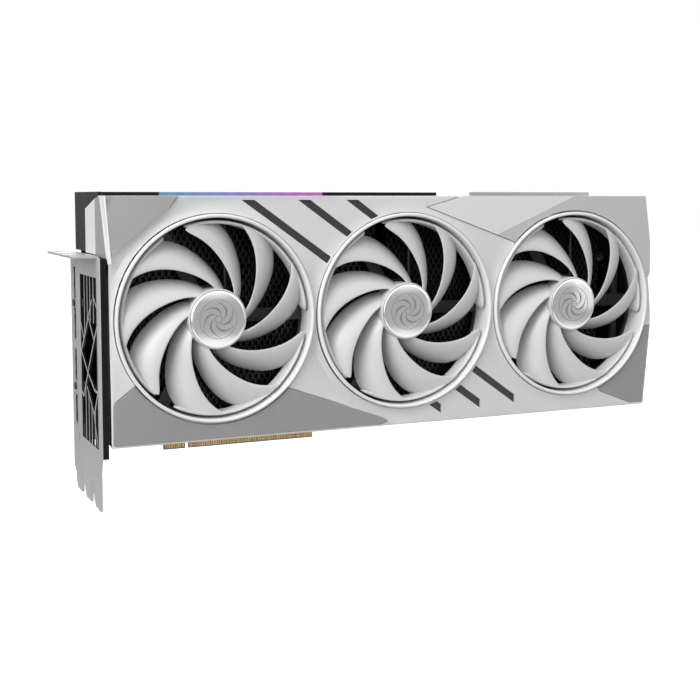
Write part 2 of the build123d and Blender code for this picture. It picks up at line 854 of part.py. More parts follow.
with BuildPart() as spring_screws:
    screws(gpu_screw_spots, backplate_back + spring_thick, screw_head_radius + gpu_screw_extra,
           gpu_shank_radius, die_front)
save(spring_screws.part, "spring_screws")

# black housing along the top edge and down the left end, carrying the light bar
housing_right = 136.2
housing_left = -56.5
housing_skin = 1.5
housing_front = 23.8
housing_low = 131.2
housing_end_low = 106.2
wing_gap = 0.3
light_left = -20.0
light_right = 68.0
light_deep = 5.0
led_thick = 0.8
light_round = 0.4

with BuildPart() as top_housing:
    block((housing_left, -backplate_near, housing_top - housing_skin), (housing_right, housing_front, housing_top))
    block((housing_left, housing_front - housing_skin, housing_low), (housing_right, housing_front, housing_top))
    block((housing_left, -backplate_near, housing_end_low),
          (housing_left + housing_skin, housing_front, housing_top))
    # the end plate runs on forward above the cheek's cut corner
    with BuildSketch(across(housing_left)) as end_wing:
        Polygon((-housing_front, housing_top), (-housing_front, cheek_chamfer_z + wing_gap),
                (-cheek_cut_front, shroud_top + wing_gap), (-cheek_cut_front, housing_top), align=None)
    extrude(end_wing.sketch, amount=housing_skin)
    block((light_left, housing_front - light_deep, housing_low - 1),
          (light_right, housing_front + 1, housing_top + 1), mode=Mode.SUBTRACT)
save(top_housing.part, "top_housing")

with BuildPart() as light_bar_board:
    block((light_left, housing_front - light_deep, housing_low),
          (light_right, housing_front, housing_low + led_thick))
save(light_bar_board.part, "light_bar_board")

with BuildPart() as light_bar:
    block((light_left, housing_front - light_deep, housing_low + led_thick),
          (light_right, housing_front, housing_top))
    fillet(light_bar.edges().filter_by(Axis.X).group_by(Axis.Z)[-1], radius=light_round)
save(light_bar.part, "light_bar")

# ---- bracket ---------------------------------------------------------------------------------

bracket_inner = bracket_face + bracket_sheet
bracket_low = -4.1
bracket_tip_z = bracket_top - bracket_tip
prong_left = 0.8
prong_right = 14.1
prong_slope = 3.4
prong_corner = 2.6
prong_cut = 0.6
prong_bevel = 1.0
shoulder_drop = 3.2
notch_left = 16.6
notch_right = 17.8
lip_depth = 1.6
lip_low = 3.4
lip_chamfer = 7.2
window = (-52.9, -17.6, 14.6, 95.2)
bar_width = 1.3
upper_bars = [(-46.4, 73.5), (-39.4, 73.5), (-33.2, 73.5), (-26.6, 65.5)]
lower_bars = [(-46.4, 33.0), (-39.4, 34.0), (-33.2, 38.6), (-26.6, 41.8)]
grille_root = 0.5
small_slot = (-9.4, 13.0)
small_slot_size = (1.4, 4.4)
socket_clear = 0.6
lattice_runs = [
    [(-52.9, 81.5), (-45.8, 86.5)],
    [(-42.5, 84.0), (-35.0, 75.7), (-24.6, 64.0), (-12.0, 51.4)],
    [(-14.1, 75.0), (-24.6, 63.8)],
    [(-34.9, 75.4), (-46.6, 65.4), (-35.0, 52.0), (-21.8, 35.5), (-12.0, 39.5)],
    [(-54.0, 73.5), (-46.6, 65.4)],
    [(-18.0, 57.4), (-31.6, 48.4), (-46.4, 41.8), (-54.0, 41.5)],
    [(-30.0, 41.0), (-44.2, 29.7), (-51.0, 16.0)],
    [(-54.0, 43.0), (-44.2, 29.7)],
]

bracket_points = [(bracket_front_y, bracket_top), (bracket_back_y, bracket_top), (bracket_back_y, bracket_low),
                  (-prong_left, bracket_low - shoulder_drop)]
for index in range(3):
    start = -index * slot_pitch
    bracket_points += [(start - prong_left, bracket_tip_z + prong_slope),
                       (start - prong_corner - prong_left, bracket_tip_z),
                       (start - prong_right + prong_cut, bracket_tip_z),
                       (start - prong_right, bracket_tip_z + prong_bevel)]
    if index < 2:
        bracket_points += [(start - notch_left, bracket_low), (start - notch_right, bracket_low)]

with BuildPart() as io_bracket:
    with BuildSketch(across(bracket_face)):
        Polygon(*bracket_points, align=None)
        # air window
        with Locations(((window[0] + window[1]) / 2, (window[2] + window[3]) / 2)):
            Rectangle(window[1] - window[0], window[3] - window[2], mode=Mode.SUBTRACT)
        # sockets
        with Locations(*[(-port_depth, z) for z in displayport_z]):
            Rectangle(port_tall + socket_clear, displayport_width + socket_clear, mode=Mode.SUBTRACT)
        with Locations((-port_depth, hdmi_z)):
            Rectangle(port_tall + socket_clear, hdmi_width + socket_clear, mode=Mode.SUBTRACT)
        with Locations(small_slot):
            Rectangle(*small_slot_size, mode=Mode.SUBTRACT)
    extrude(amount=bracket_sheet)
    # the window's grille: upright bars above and below a lattice of slanted ones
    with BuildSketch(across(bracket_face)):
        for y, low in upper_bars:
            with Locations((y, (window[3] + grille_root + low) / 2)):
                Rectangle(bar_width, window[3] + grille_root - low)
        for y, high in lower_bars:
            with Locations((y, (window[2] - grille_root + high) / 2)):
                Rectangle(bar_width, high - window[2] + grille_root)
        for run in lattice_runs:
            for first, second in zip(run[:-1], run[1:]):
                SlotCenterPoint(((first[0] + second[0]) / 2, (first[1] + second[1]) / 2), first, bar_width)
        with Locations(((window[0] + window[1]) / 2, (window[2] + window[3]) / 2)):
            Rectangle(window[1] - window[0] + 2 * grille_root, window[3] - window[2] + 2 * grille_root,
                      mode=Mode.INTERSECT)
    extrude(amount=bracket_sheet)
    # top flange with an open notch for each slot's screw
    block((bracket_face - bracket_flange, -bracket_back_y, bracket_top - bracket_sheet),
          (bracket_face, -bracket_front_y, bracket_top))
    with BuildSketch(Plane.XY.offset(bracket_top)):
        for index in range(3):
            notch_y = -port_depth - index * slot_pitch
            with Locations((bracket_face - screw_notch_x, notch_y)):
                Circle(screw_notch_radius)
            with Locations((bracket_face - screw_notch_x - bracket_flange / 2, notch_y)):
                Rectangle(bracket_flange, 2 * screw_notch_radius)
    extrude(amount=-bracket_sheet, mode=Mode.SUBTRACT)
    # stiffening lip along the front edge
    with BuildSketch(Plane.XZ.offset(-bracket_front_y - bracket_sheet)):
        Polygon((bracket_face, bracket_top), (bracket_face + lip_depth, bracket_top - 1),
                (bracket_face + lip_depth, lip_low + lip_chamfer), (bracket_inner, lip_low), (bracket_face, lip_low),
                align=None)
    extrude(amount=bracket_sheet)
save(io_bracket.part, "io_bracket")

# two small screws hold the bracket to the sockets' shells
bracket_screw_z = [79.7, 37.6]
bracket_screw_radius = 1.9
bracket_screw_head = 0.8
with BuildPart() as bracket_screws:
    with BuildSketch(across(bracket_face)):
        with Locations(*[(-port_depth, z) for z in bracket_screw_z]):
            Circle(bracket_screw_radius)
    extrude(amount=-bracket_screw_head)
save(bracket_screws.part, "bracket_screws")
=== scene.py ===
import math
import bmesh
import bpy
import numpy as np
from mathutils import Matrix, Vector
from mathutils.geometry import delaunay_2d_cdt


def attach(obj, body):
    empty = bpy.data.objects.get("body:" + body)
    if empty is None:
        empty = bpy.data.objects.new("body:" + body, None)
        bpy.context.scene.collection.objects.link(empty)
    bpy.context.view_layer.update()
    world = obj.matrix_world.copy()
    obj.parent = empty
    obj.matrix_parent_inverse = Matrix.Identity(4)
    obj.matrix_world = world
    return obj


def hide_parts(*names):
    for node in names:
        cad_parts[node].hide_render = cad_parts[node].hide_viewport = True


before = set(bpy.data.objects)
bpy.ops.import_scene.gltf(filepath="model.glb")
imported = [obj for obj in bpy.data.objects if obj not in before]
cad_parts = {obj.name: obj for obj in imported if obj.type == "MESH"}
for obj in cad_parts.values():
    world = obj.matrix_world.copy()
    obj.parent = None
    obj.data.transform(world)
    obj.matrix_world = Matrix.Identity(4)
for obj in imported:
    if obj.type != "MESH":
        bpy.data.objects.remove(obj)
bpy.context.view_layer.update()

# Triple-fan graphics card. Lengths in this script are millimetres until a mesh is made:
# X along the card, "depth" towards the fans (that is -Y) and Z up.

mm = 0.001
fanNames = ["fan_1", "fan_2", "fan_3"]
fanPlace = {"firstX": -0.7, "pitch": 102.4, "z": 74.1, "restTurns": [0.0, -3.7, -11.0]}
fanCentres = [(fanPlace["firstX"] + fanPlace["pitch"] * i, fanPlace["z"]) for i in range(3)]

# ---- camera ----
cameraLook = {"place": (-0.17584, -0.57735, 0.13226), "yaw": -23.017, "pitch": -5.691,
              "lens": 59.13, "shift": (0.0615, -0.0545)}
cameraData = bpy.data.cameras.new("camera")
cameraData.sensor_width = 36
cameraData.lens = cameraLook["lens"]
cameraData.shift_x, cameraData.shift_y = cameraLook["shift"]
cameraData.clip_start, cameraData.clip_end = 0.01, 50
camera = bpy.data.objects.new("camera", cameraData)
bpy.context.collection.objects.link(camera)
camera.location = cameraLook["place"]
camera.rotation_euler = (math.radians(90 + cameraLook["pitch"]), 0, math.radians(cameraLook["yaw"]))
bpy.context.scene.camera = camera
print("camera ready")


# ---- materials ----
class Finish:
    # a node material; each method adds one node and returns its output
    def __init__(self, name, colour, roughness, metallic=0.0, **sockets):
        self.material = bpy.data.materials.new(name)
        self.material.use_nodes = True
        self.tree = self.material.node_tree
        self.shader = self.tree.nodes["Principled BSDF"]
        self.shader.inputs["Base Color"].default_value = (*colour, 1)
        self.shader.inputs["Roughness"].default_value = roughness
        self.shader.inputs["Metallic"].default_value = metallic
        for socket, value in sockets.items():
            self.shader.inputs[socket.replace("_", " ")].default_value = value
        self.place = self.tree.nodes.new("ShaderNodeTexCoord").outputs["Object"]
        self.lastBump = None

    def link(self, value, socket):
        if isinstance(value, (int, float)):
            socket.default_value = value
        elif isinstance(value, tuple):
            socket.default_value = (*value, 1) if len(value) == 3 and socket.type == "RGBA" else value
        else:
            self.tree.links.new(value, socket)

    def stretch(self, scale, turn=(0, 0, 0)):
        node = self.tree.nodes.new("ShaderNodeMapping")
        node.inputs["Scale"].default_value = scale
        node.inputs["Rotation"].default_value = turn
        self.link(self.place, node.inputs["Vector"])
        return node.outputs["Vector"]

    def noise(self, scale, detail=3, vector=None, roughness=0.5):
        node = self.tree.nodes.new("ShaderNodeTexNoise")
        self.link(self.place if vector is None else vector, node.inputs["Vector"])
        node.inputs["Scale"].default_value = scale
        node.inputs["Detail"].default_value = detail
        node.inputs["Roughness"].default_value = roughness
        return node.outputs["Fac"]

    def cells(self, scale, vector=None, feature="F1"):
        node = self.tree.nodes.new("ShaderNodeTexVoronoi")
        node.feature = feature
        self.link(self.place if vector is None else vector, node.inputs["Vector"])
        node.inputs["Scale"].default_value = scale
        return node.outputs["Distance"]

    def remap(self, value, low, high, newLow=0.0, newHigh=1.0):
        node = self.tree.nodes.new("ShaderNodeMapRange")
        self.link(value, node.inputs["Value"])
        limits = {"From Min": low, "From Max": high, "To Min": newLow, "To Max": newHigh}
        for socket, number in limits.items():
            node.inputs[socket].default_value = number
        return node.outputs["Result"]

    def math(self, operation, first, second=0.0):
        node = self.tree.nodes.new("ShaderNodeMath")
        node.operation = operation
        self.link(first, node.inputs[0])
        self.link(second, node.inputs[1])
        return node.outputs[0]

    def blend(self, share, first, second):
        node = self.tree.nodes.new("ShaderNodeMix")
        node.data_type = "RGBA"
        self.link(share, node.inputs["Factor"])
        self.link(first, node.inputs["A"])
        self.link(second, node.inputs["B"])
        return node.outputs["Result"]

    def axis(self, letter, vector=None):
        node = self.tree.nodes.new("ShaderNodeSeparateXYZ")
        self.link(self.place if vector is None else vector, node.inputs[0])
        return node.outputs[letter]

    def colour(self, value):
        self.link(value, self.shader.inputs["Base Color"])

    def roughen(self, value):
        self.link(value, self.shader.inputs["Roughness"])

    def bump(self, height, strength, distance=0.0001):
        node = self.tree.nodes.new("ShaderNodeBump")
        node.inputs["Strength"].default_value = strength
        node.inputs["Distance"].default_value = distance
        self.link(height, node.inputs["Height"])
        if self.lastBump is not None:
            self.link(self.lastBump, node.inputs["Normal"])
        self.lastBump = node.outputs["Normal"]
        self.link(self.lastBump, self.shader.inputs["Normal"])


def paint(name, colour, roughness, grain=0.12, mottle=0.04, metallic=0.0, flake=0.0, **sockets):
    # moulded plastic or sprayed paint: fine grain, slow change of tone and polish
    finish = Finish(name, colour, roughness, metallic, **sockets)
    slow = finish.noise(14, 4)
    fine = finish.noise(2600, 2)
    dark = tuple(max(0.0, part * (1 - mottle)) for part in colour)
    light = tuple(min(1.0, part * (1 + mottle)) for part in colour)
    finish.colour(finish.blend(finish.remap(slow, 0.35, 0.65), dark, light))
    smear = finish.noise(55, 5, roughness=0.65)
    rough = finish.remap(smear, 0.3, 0.7, roughness - 0.05, roughness + 0.05)
    if flake:
        sparkle = finish.cells(3800)
        rough = finish.math("ADD", rough, finish.remap(sparkle, 0.1, 0.5, -flake, flake))
    finish.roughen(rough)
    finish.bump(fine, grain, 0.00004)
    return finish


def brushed(name, colour, roughness, along, depth=0.25, metallic=1.0, **sockets):
    # rolled or brushed metal: streaks long in the direction with the small scale
    finish = Finish(name, colour, roughness, metallic, **sockets)
    streaks = finish.noise(1.0, 4, finish.stretch(along), 0.6)
    cloud = finish.noise(30, 4)
    dark = tuple(part * 0.95 for part in colour)
    light = tuple(min(1.0, part * 1.04) for part in colour)
    finish.colour(finish.blend(finish.remap(cloud, 0.35, 0.65), dark, light))
    finish.roughen(finish.remap(streaks, 0.3, 0.7, roughness - 0.07, roughness + 0.09))
    finish.bump(streaks, depth, 0.00003)
    return finish


tones = {
    "shroud": (0.69, 0.695, 0.70), "panelSilver": (0.385, 0.387, 0.39), "panelSilverShaded": (0.30, 0.303, 0.306),
    "panelPale": (0.74, 0.745, 0.75), "panelPaintedShade": (0.53, 0.535, 0.54), "ring": (0.82, 0.82, 0.82),
    "fan": (0.65, 0.652, 0.655),
    "black": (0.008, 0.008, 0.0085), "darkGloss": (0.03, 0.031, 0.033), "steel": (0.43, 0.43, 0.435),
    "cap": (0.80, 0.80, 0.81), "gold": (0.62, 0.42, 0.16), "board": (0.012, 0.014, 0.014),
}
shroudFinish = paint("shroudPaint", tones["shroud"], 0.38, 0.10, 0.03, 0.03, 0.03)
silverFinish = paint("panelSilverPaint", tones["panelSilver"], 0.34, 0.10, 0.03, 0.12, 0.05)
paleFinish = paint("panelPalePaint", tones["panelPale"], 0.34, 0.10, 0.03, 0.08, 0.05)
# painted shade: a darker copy of the silver paint, for the lower trim panels and the cheek's facet, whose
# faces turn away from the light
shadedSilverFinish = paint("panelSilverPaintedShade", tones["panelSilverShaded"], 0.36, 0.10, 0.03, 0.12, 0.05)
ringFinish = paint("ringGloss", tones["ring"], 0.22, 0.05, 0.02, Coat_Weight=0.4, Coat_Roughness=0.12)
fanFinish = paint("fanPlastic", tones["fan"], 0.36, 0.08, 0.025, Coat_Weight=0.15, Coat_Roughness=0.3)
blackFinish = paint("blackPlastic", tones["black"], 0.5, 0.2, 0.25, Specular_IOR_Level=0.12)
barFinish = paint("accentGloss", tones["darkGloss"], 0.2, 0.06, 0.2, Coat_Weight=0.6, Coat_Roughness=0.08)
frameFinish = paint("framePlastic", (0.035, 0.035, 0.037), 0.5, 0.25, 0.06, Specular_IOR_Level=0.25)
plugFinish = paint("plugNylon", (0.66, 0.65, 0.60), 0.45, 0.15, 0.05)
finFinish = brushed("finCoating", (0.020, 0.020, 0.021), 0.34, (900, 900, 40), 0.2, 0.6)
steelFinish = brushed("bracketSteel", tones["steel"], 0.4, (300, 300, 1600), 0.04, 0.6)
portFinish = brushed("portShell", (0.62, 0.61, 0.59), 0.28, (300, 2600, 300), 0.15)
nickelFinish = brushed("nickelPlate", (0.66, 0.63, 0.58), 0.24, (60, 1800, 1800), 0.15)
canFinish = brushed("aluminiumCan", (0.72, 0.72, 0.73), 0.3, (1400, 1400, 1400), 0.12)
backFinish = brushed("backplateMetal", (0.50, 0.505, 0.51), 0.36, (45, 900, 1900), 0.2, 0.75)
screwFinish = brushed("blackScrew", (0.03, 0.03, 0.032), 0.32, (1500, 1500, 1500), 0.2, 0.7)
shaftFinish = brushed("groundSteel", (0.6, 0.6, 0.61), 0.22, (1800, 200, 1800), 0.15)
bearingFinish = paint("sinteredBronze", (0.42, 0.26, 0.12), 0.42, 0.4, 0.2, 1.0)
copperFinish = brushed("woundCopper", (0.72, 0.33, 0.16), 0.34, (200, 2600, 200), 0.8)
magnetFinish = paint("magnetFerrite", (0.03, 0.03, 0.032), 0.6, 0.5, 0.2)
packageFinish = paint("packageResin", (0.02, 0.09, 0.05), 0.35, 0.2, 0.15)
dieFinish = Finish("polishedDie", (0.32, 0.33, 0.36), 0.08, 1.0)
dieFinish.roughen(dieFinish.remap(dieFinish.noise(90, 4), 0.3, 0.7, 0.05, 0.14))
chipFinish = paint("chipResin", (0.02, 0.02, 0.021), 0.55, 0.5, 0.2)
padFinish = paint("padSilicone", (0.30, 0.33, 0.38), 0.75, 0.5, 0.1)
socketFinish = paint("socketNylon", (0.014, 0.014, 0.015), 0.42, 0.3, 0.2)
leadFinish = paint("leadSleeve", (0.016, 0.016, 0.017), 0.5, 0.3, 0.3)

# painted shade: the silver paint is darker below the top right panel's fold, where that facet turns away from
# the light
belowFold = paleFinish.math("SUBTRACT", paleFinish.math("MULTIPLY", paleFinish.axis("X"), 0.416),
                            paleFinish.axis("Z"))
foldShadeShare = paleFinish.remap(belowFold, -0.0484, -0.0480)
paleFinish.colour(paleFinish.blend(foldShadeShare, tones["panelPale"], tones["panelPaintedShade"]))

# painted light: the glow of the light bar behind the shroud's top edge is painted as a tint over the last
# millimetres of the face
spill = {"left": (-0.030, -0.012), "right": (0.058, 0.070), "low": 0.1290, "high": 0.1332, "share": 0.55}
spillX = shroudFinish.axis("X")
spillUp = shroudFinish.remap(shroudFinish.axis("Z"), spill["low"], spill["high"])
paintedGlowShare = shroudFinish.math("MULTIPLY", shroudFinish.math("MULTIPLY", spillUp, spillUp),
                               shroudFinish.remap(spillX, *spill["left"], 0.0, spill["share"]))
paintedGlowShare = shroudFinish.math("MULTIPLY", paintedGlowShare, shroudFinish.remap(spillX, *spill["right"], 1.0, 0.0))
# the top face behind the edge takes less of the painted glow
paintedGlowShare = shroudFinish.math("MULTIPLY", paintedGlowShare,
                               shroudFinish.remap(shroudFinish.axis("Y"), -0.0535, -0.0552, 0.2, 1.0))
paintedGlowTint = shroudFinish.blend(shroudFinish.remap(spillX, 0.0, 0.045), (0.16, 0.46, 0.72), (0.72, 0.26, 0.70))
shroudFinish.colour(shroudFinish.blend(paintedGlowShare, tones["shroud"], paintedGlowTint))

# gold fingers: plated, a little brown where it is thin, with fine wipe marks
goldFinish = Finish("contactGold", tones["gold"], 0.3, 1.0)
wipes = goldFinish.noise(1.0, 3, goldFinish.stretch((2600, 900, 120)), 0.6)
goldFinish.colour(goldFinish.blend(goldFinish.remap(wipes, 0.3, 0.7), (0.42, 0.27, 0.12), (0.78, 0.58, 0.30)))
goldFinish.roughen(goldFinish.remap(wipes, 0.3, 0.7, 0.2, 0.42))
goldFinish.bump(wipes, 0.15, 0.00003)

# solder mask: black lacquer over copper pours, which stand out as slightly raised and lighter areas
boardFinish = Finish("solderMask", tones["board"], 0.38, 0.0, Coat_Weight=0.35, Coat_Roughness=0.25)
pours = boardFinish.cells(240, feature="DISTANCE_TO_EDGE")
lanes = boardFinish.math("GREATER_THAN", pours, 0.06)
weave = boardFinish.noise(1900, 2)
boardFinish.colour(boardFinish.blend(lanes, (0.010, 0.012, 0.012), (0.022, 0.026, 0.025)))
boardFinish.roughen(boardFinish.remap(weave, 0.3, 0.7, 0.32, 0.46))
boardFinish.bump(lanes, 0.5, 0.00006)
boardFinish.bump(weave, 0.15, 0.00003)

# painted shade: the port shells are bare metal at the mouth and black behind the bracket, where the inside of
# the card lies in shade
portFinish.colour(portFinish.blend(portFinish.remap(portFinish.axis("X"), -0.0579, -0.0575),
                                   (0.62, 0.61, 0.59), (0.02, 0.02, 0.021)))

# light bar: diffusing plastic lit from inside, cyan to magenta along the card, brighter over each lamp
lightLook = {"leftX": -0.020, "rightX": 0.068, "lampPitch": 0.0078, "strength": 0.55}
lightFinish = Finish("litDiffuser", (0.06, 0.06, 0.07), 0.3, 0.0, Coat_Weight=0.3)
ramp = lightFinish.tree.nodes.new("ShaderNodeValToRGB")
along = lightFinish.remap(lightFinish.axis("X"), lightLook["leftX"], lightLook["rightX"])
lightFinish.link(along, ramp.inputs["Fac"])
ramp.color_ramp.elements[0].color = (0.05, 0.42, 0.72, 1)
ramp.color_ramp.elements[1].color = (0.72, 0.12, 0.55, 1)
middle = ramp.color_ramp.elements.new(0.42)
middle.color = (0.30, 0.26, 0.80, 1)
lightFinish.link(ramp.outputs["Color"], lightFinish.shader.inputs["Emission Color"])
lamps = lightFinish.math("SINE", lightFinish.math("MULTIPLY", lightFinish.axis("X"),
                                                  2 * math.pi / lightLook["lampPitch"]))
lightFinish.link(lightFinish.remap(lamps, -1, 1, lightLook["strength"] * 0.85, lightLook["strength"]),
                 lightFinish.shader.inputs["Emission Strength"])

# hub cap: turned aluminium. The mesh's own map runs round the axis, which steers the streaks.
capFinish = Finish("turnedCap", tones["cap"], 0.12, 1.0, Anisotropic=0.4)
capMap = capFinish.tree.nodes.new("ShaderNodeUVMap").outputs["UV"]
capTangent = capFinish.tree.nodes.new("ShaderNodeTangent")
capTangent.direction_type = "UV_MAP"
capFinish.link(capTangent.outputs["Tangent"], capFinish.shader.inputs["Tangent"])
turnMarks = capFinish.tree.nodes.new("ShaderNodeMapping")
turnMarks.inputs["Scale"].default_value = (3.0, 260.0, 1.0)
capFinish.link(capMap, turnMarks.inputs["Vector"])
rings = capFinish.noise(1.0, 2, turnMarks.outputs["Vector"])
capFinish.roughen(capFinish.remap(rings, 0.3, 0.7, 0.08, 0.14))
capFinish.bump(rings, 0.08, 0.00002)
etchFinish = paint("etchedLine", (0.20, 0.20, 0.205), 0.5, 0.2, 0.1, 0.6)
print("materials ready")


# ---- mesh helpers ----
def gridFaces(rows, columns, closeRows=False, closeColumns=False):
    # quads between neighbouring points of a rows x columns grid, as index arithmetic on whole arrays
    i = np.arange(rows if closeRows else rows - 1)[:, None]
    j = np.arange(columns if closeColumns else columns - 1)[None, :]
    up, right = (i + 1) % rows, (j + 1) % columns
    return np.stack([i * columns + j, i * columns + right, up * columns + right, up * columns + j],
                    axis=-1).reshape(-1, 4)


def joined(*parts):
    # several (points, faces) pairs as one
    points, faces, start = [], [], 0
    for partPoints, partFaces in parts:
        points.append(np.asarray(partPoints, float).reshape(-1, 3))
        faces += [tuple(int(k) + start for k in face) for face in partFaces]
        start += len(points[-1])
    return np.concatenate(points), faces


def addPiece(name, parts, finish, replaced=(), body="card", creases=32, merge=0.0005):
    # parts: (points, faces) in (X, depth, Z) millimetres. Turned into metres with Y = -depth.
    points, faces = joined(*parts) if isinstance(parts, list) else joined(parts)
    real = points * mm * np.array([1, -1, 1])
    mesh = bpy.data.meshes.new(name)
    mesh.from_pydata(real.tolist(), [], faces)
    work = bmesh.new()
    work.from_mesh(mesh)
    bmesh.ops.remove_doubles(work, verts=work.verts, dist=merge * mm)
    bmesh.ops.recalc_face_normals(work, faces=work.faces)
    work.to_mesh(mesh)
    work.free()
    mesh.shade_smooth()
    if creases:
        mesh.set_sharp_from_angle(angle=math.radians(creases))
    return register(name, mesh, finish, replaced, body)


def register(name, mesh, finish, replaced, body):
    mesh.materials.clear()
    for one in finish if isinstance(finish, list) else [finish]:
        mesh.materials.append(one.material)
    piece = bpy.data.objects.new(name, mesh)
    bpy.context.collection.objects.link(piece)
    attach(piece, body)
    if replaced:
        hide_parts(*replaced)
    return piece


def bevel(piece, width, segments=2, angle=30):
    live = piece.modifiers.new("softEdges", "BEVEL")
    live.width = width * mm
    live.segments = segments
    live.limit_method = "ANGLE"
    live.angle_limit = math.radians(angle)
    live.harden_normals = True
    live.use_clamp_overlap = True
    return piece


def turned(profile, centre, steps=128, closed=True):
    # a lathe: profile points (radius, depth) turned about the fan axis through centre
    profile = np.asarray(profile, float)
    angle = np.linspace(0, 2 * np.pi, steps, endpoint=False)[:, None]
    depth = np.broadcast_to(profile[:, 1], (steps, len(profile)))
    points = np.stack([centre[0] + profile[:, 0] * np.cos(angle), depth,
                       centre[1] + profile[:, 0] * np.sin(angle)], axis=-1)
    return points, gridFaces(steps, len(profile), True, closed)


def boxes(lows, highs):
    # many plain boxes at once from arrays of opposite corners (X, depth, Z)
    lows, highs = np.asarray(lows, float).reshape(-1, 3), np.asarray(highs, float).reshape(-1, 3)
    corner = np.array([[0, 0, 0], [1, 0, 0], [1, 1, 0], [0, 1, 0],
                       [0, 0, 1], [1, 0, 1], [1, 1, 1], [0, 1, 1]])
    points = lows[:, None] + (highs - lows)[:, None] * corner
    sides = np.array([[0, 1, 2, 3], [7, 6, 5, 4], [0, 4, 5, 1], [1, 5, 6, 2], [2, 6, 7, 3], [3, 7, 4, 0]])
    faces = sides[None] + 8 * np.arange(len(lows))[:, None, None]
    return points.reshape(-1, 3), faces.reshape(-1, 4)


def refined(name, node, finish, width):
    # a copy of a CAD node, its loose triangles merged and its flats dissolved, with softened edges
    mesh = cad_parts[node].data.copy()
    mesh.name = name
    work = bmesh.new()
    work.from_mesh(mesh)
    bmesh.ops.remove_doubles(work, verts=work.verts, dist=0.002 * mm)
    bmesh.ops.dissolve_limit(work, angle_limit=math.radians(1), verts=work.verts, edges=work.edges)
    work.to_mesh(mesh)
    work.free()
    mesh.shade_smooth()
    mesh.set_sharp_from_angle(angle=math.radians(32))
    return bevel(register(name, mesh, finish, (node,), "card"), width)


# ---- flat shapes ----
def inset(corners, distance):
    # a polygon moved inwards: each corner slides along its bisector, so every side moves equally
    corners = np.asarray(corners, float)
    area = np.sum(corners[:, 0] * np.roll(corners[:, 1], -1) - corners[:, 1] * np.roll(corners[:, 0], -1))
    run = np.roll(corners, -1, axis=0) - corners
    run /= np.linalg.norm(run, axis=1, keepdims=True)
    normal = np.stack([-run[:, 1], run[:, 0]], axis=1) * np.sign(area)
    before = np.roll(normal, 1, axis=0)
    bisector = normal + before
    return corners + distance * bisector / (1 + np.sum(normal * before, axis=1, keepdims=True))


def divided(corners, step, closed=True, like=None):
    # points along a polygon's sides, at most a step apart. "like" gives the polygon that sets the counts.
    corners = np.asarray(corners, float)
    guide = corners if like is None else np.asarray(like, float)
    ends, guideEnds = np.roll(corners, -1, axis=0), np.roll(guide, -1, axis=0)
    sides = len(corners) if closed else len(corners) - 1
    rows = []
    for k in range(sides):
        count = max(1, math.ceil(np.linalg.norm(guideEnds[k] - guide[k]) / step))
        rows.append(corners[k] + (ends[k] - corners[k]) * (np.arange(count) / count)[:, None])
    if not closed:
        rows.append(corners[-1:])
    return np.concatenate(rows)


def inside(points, corners):
    # even-odd test of many points against one polygon, all pairs at once
    x, z = points[:, :1], points[:, 1:]
    a, b = np.asarray(corners, float), np.roll(corners, -1, axis=0)
    spans = (a[None, :, 1] > z) != (b[None, :, 1] > z)
    rise = np.where(np.abs(b[:, 1] - a[:, 1]) < 1e-12, 1e-12, b[:, 1] - a[:, 1])
    cross = a[:, 0] + (z - a[:, 1]) * (b[:, 0] - a[:, 0]) / rise
    return (np.sum(spans & (x < cross), axis=1) % 2) == 1


def nearLine(points, line):
    # distance of many points to a set of dense line points
    near = np.full(len(points), 1e9)
    for start in range(0, len(line), 400):
        piece = line[start:start + 400]
        gap = np.linalg.norm(points[:, None] - piece[None], axis=2).min(axis=1)
        near = np.minimum(near, gap)
    return near


def circle(centre, radius, steps):
    angle = np.linspace(0, 2 * np.pi, steps, endpoint=False)
    return np.stack([centre[0] + radius * np.cos(angle), centre[1] + radius * np.sin(angle)], axis=1)


def triangulated(loop, holes, lines, spacing, clear):
    # a plane area cut into even triangles: outer loop, holes and fold lines are kept as edges
    loops = [loop, *holes]
    points, edges = [], []
    for one in loops:
        start = sum(len(part) for part in points)
        edges += [(start + k, start + (k + 1) % len(one)) for k in range(len(one))]
        points.append(one)
    for one in lines:
        start = sum(len(part) for part in points)
        edges += [(start + k, start + k + 1) for k in range(len(one) - 1)]
        points.append(one)
    low, high = loop.min(axis=0), loop.max(axis=0)
    x, z = np.meshgrid(np.arange(low[0], high[0], spacing), np.arange(low[1], high[1], spacing * 0.866))
    x = x + (np.arange(x.shape[0]) % 2)[:, None] * spacing / 2
    fill = np.stack([x.ravel(), z.ravel()], axis=1)
    fill = fill[inside(fill, loop)]
    for hole in holes:
        fill = fill[~inside(fill, hole)]
    fill = fill[nearLine(fill, np.concatenate(points)) > clear]
    every = np.concatenate([*points, fill])
    out = delaunay_2d_cdt([Vector(p) for p in every.tolist()], edges, [], 0, 1e-5)
    flat = np.array([tuple(v) for v in out[0]])
    faces = np.array([tuple(f) for f in out[2]])
    middle = flat[faces].mean(axis=1)
    keep = inside(middle, loop)
    for hole in holes:
        keep &= ~inside(middle, hole)
    return flat, faces[keep]


def lifted(flat, depth):
    return np.stack([flat[:, 0], np.broadcast_to(depth, len(flat)), flat[:, 1]], axis=1)


def slab(loop, holes, lines, top, bottom, spacing=4.0, clear=1.4):
    # a closed plate: a triangulated top at height top(x, z), a flat bottom, and walls along every open edge
    flat, faces = triangulated(loop, holes, lines, spacing, clear)
    edge = np.sort(np.concatenate([faces[:, [0, 1]], faces[:, [1, 2]], faces[:, [2, 0]]]), axis=1)
    sides, counts = np.unique(edge, axis=0, return_counts=True)
    rim = sides[counts == 1]
    count = len(flat)
    walls = np.stack([rim[:, 0], rim[:, 1], rim[:, 1] + count, rim[:, 0] + count], axis=1)
    points = np.concatenate([lifted(flat, top(flat)), lifted(flat, bottom)])
    return points, [*faces.tolist(), *(faces[:, ::-1] + count).tolist(), *walls.tolist()]


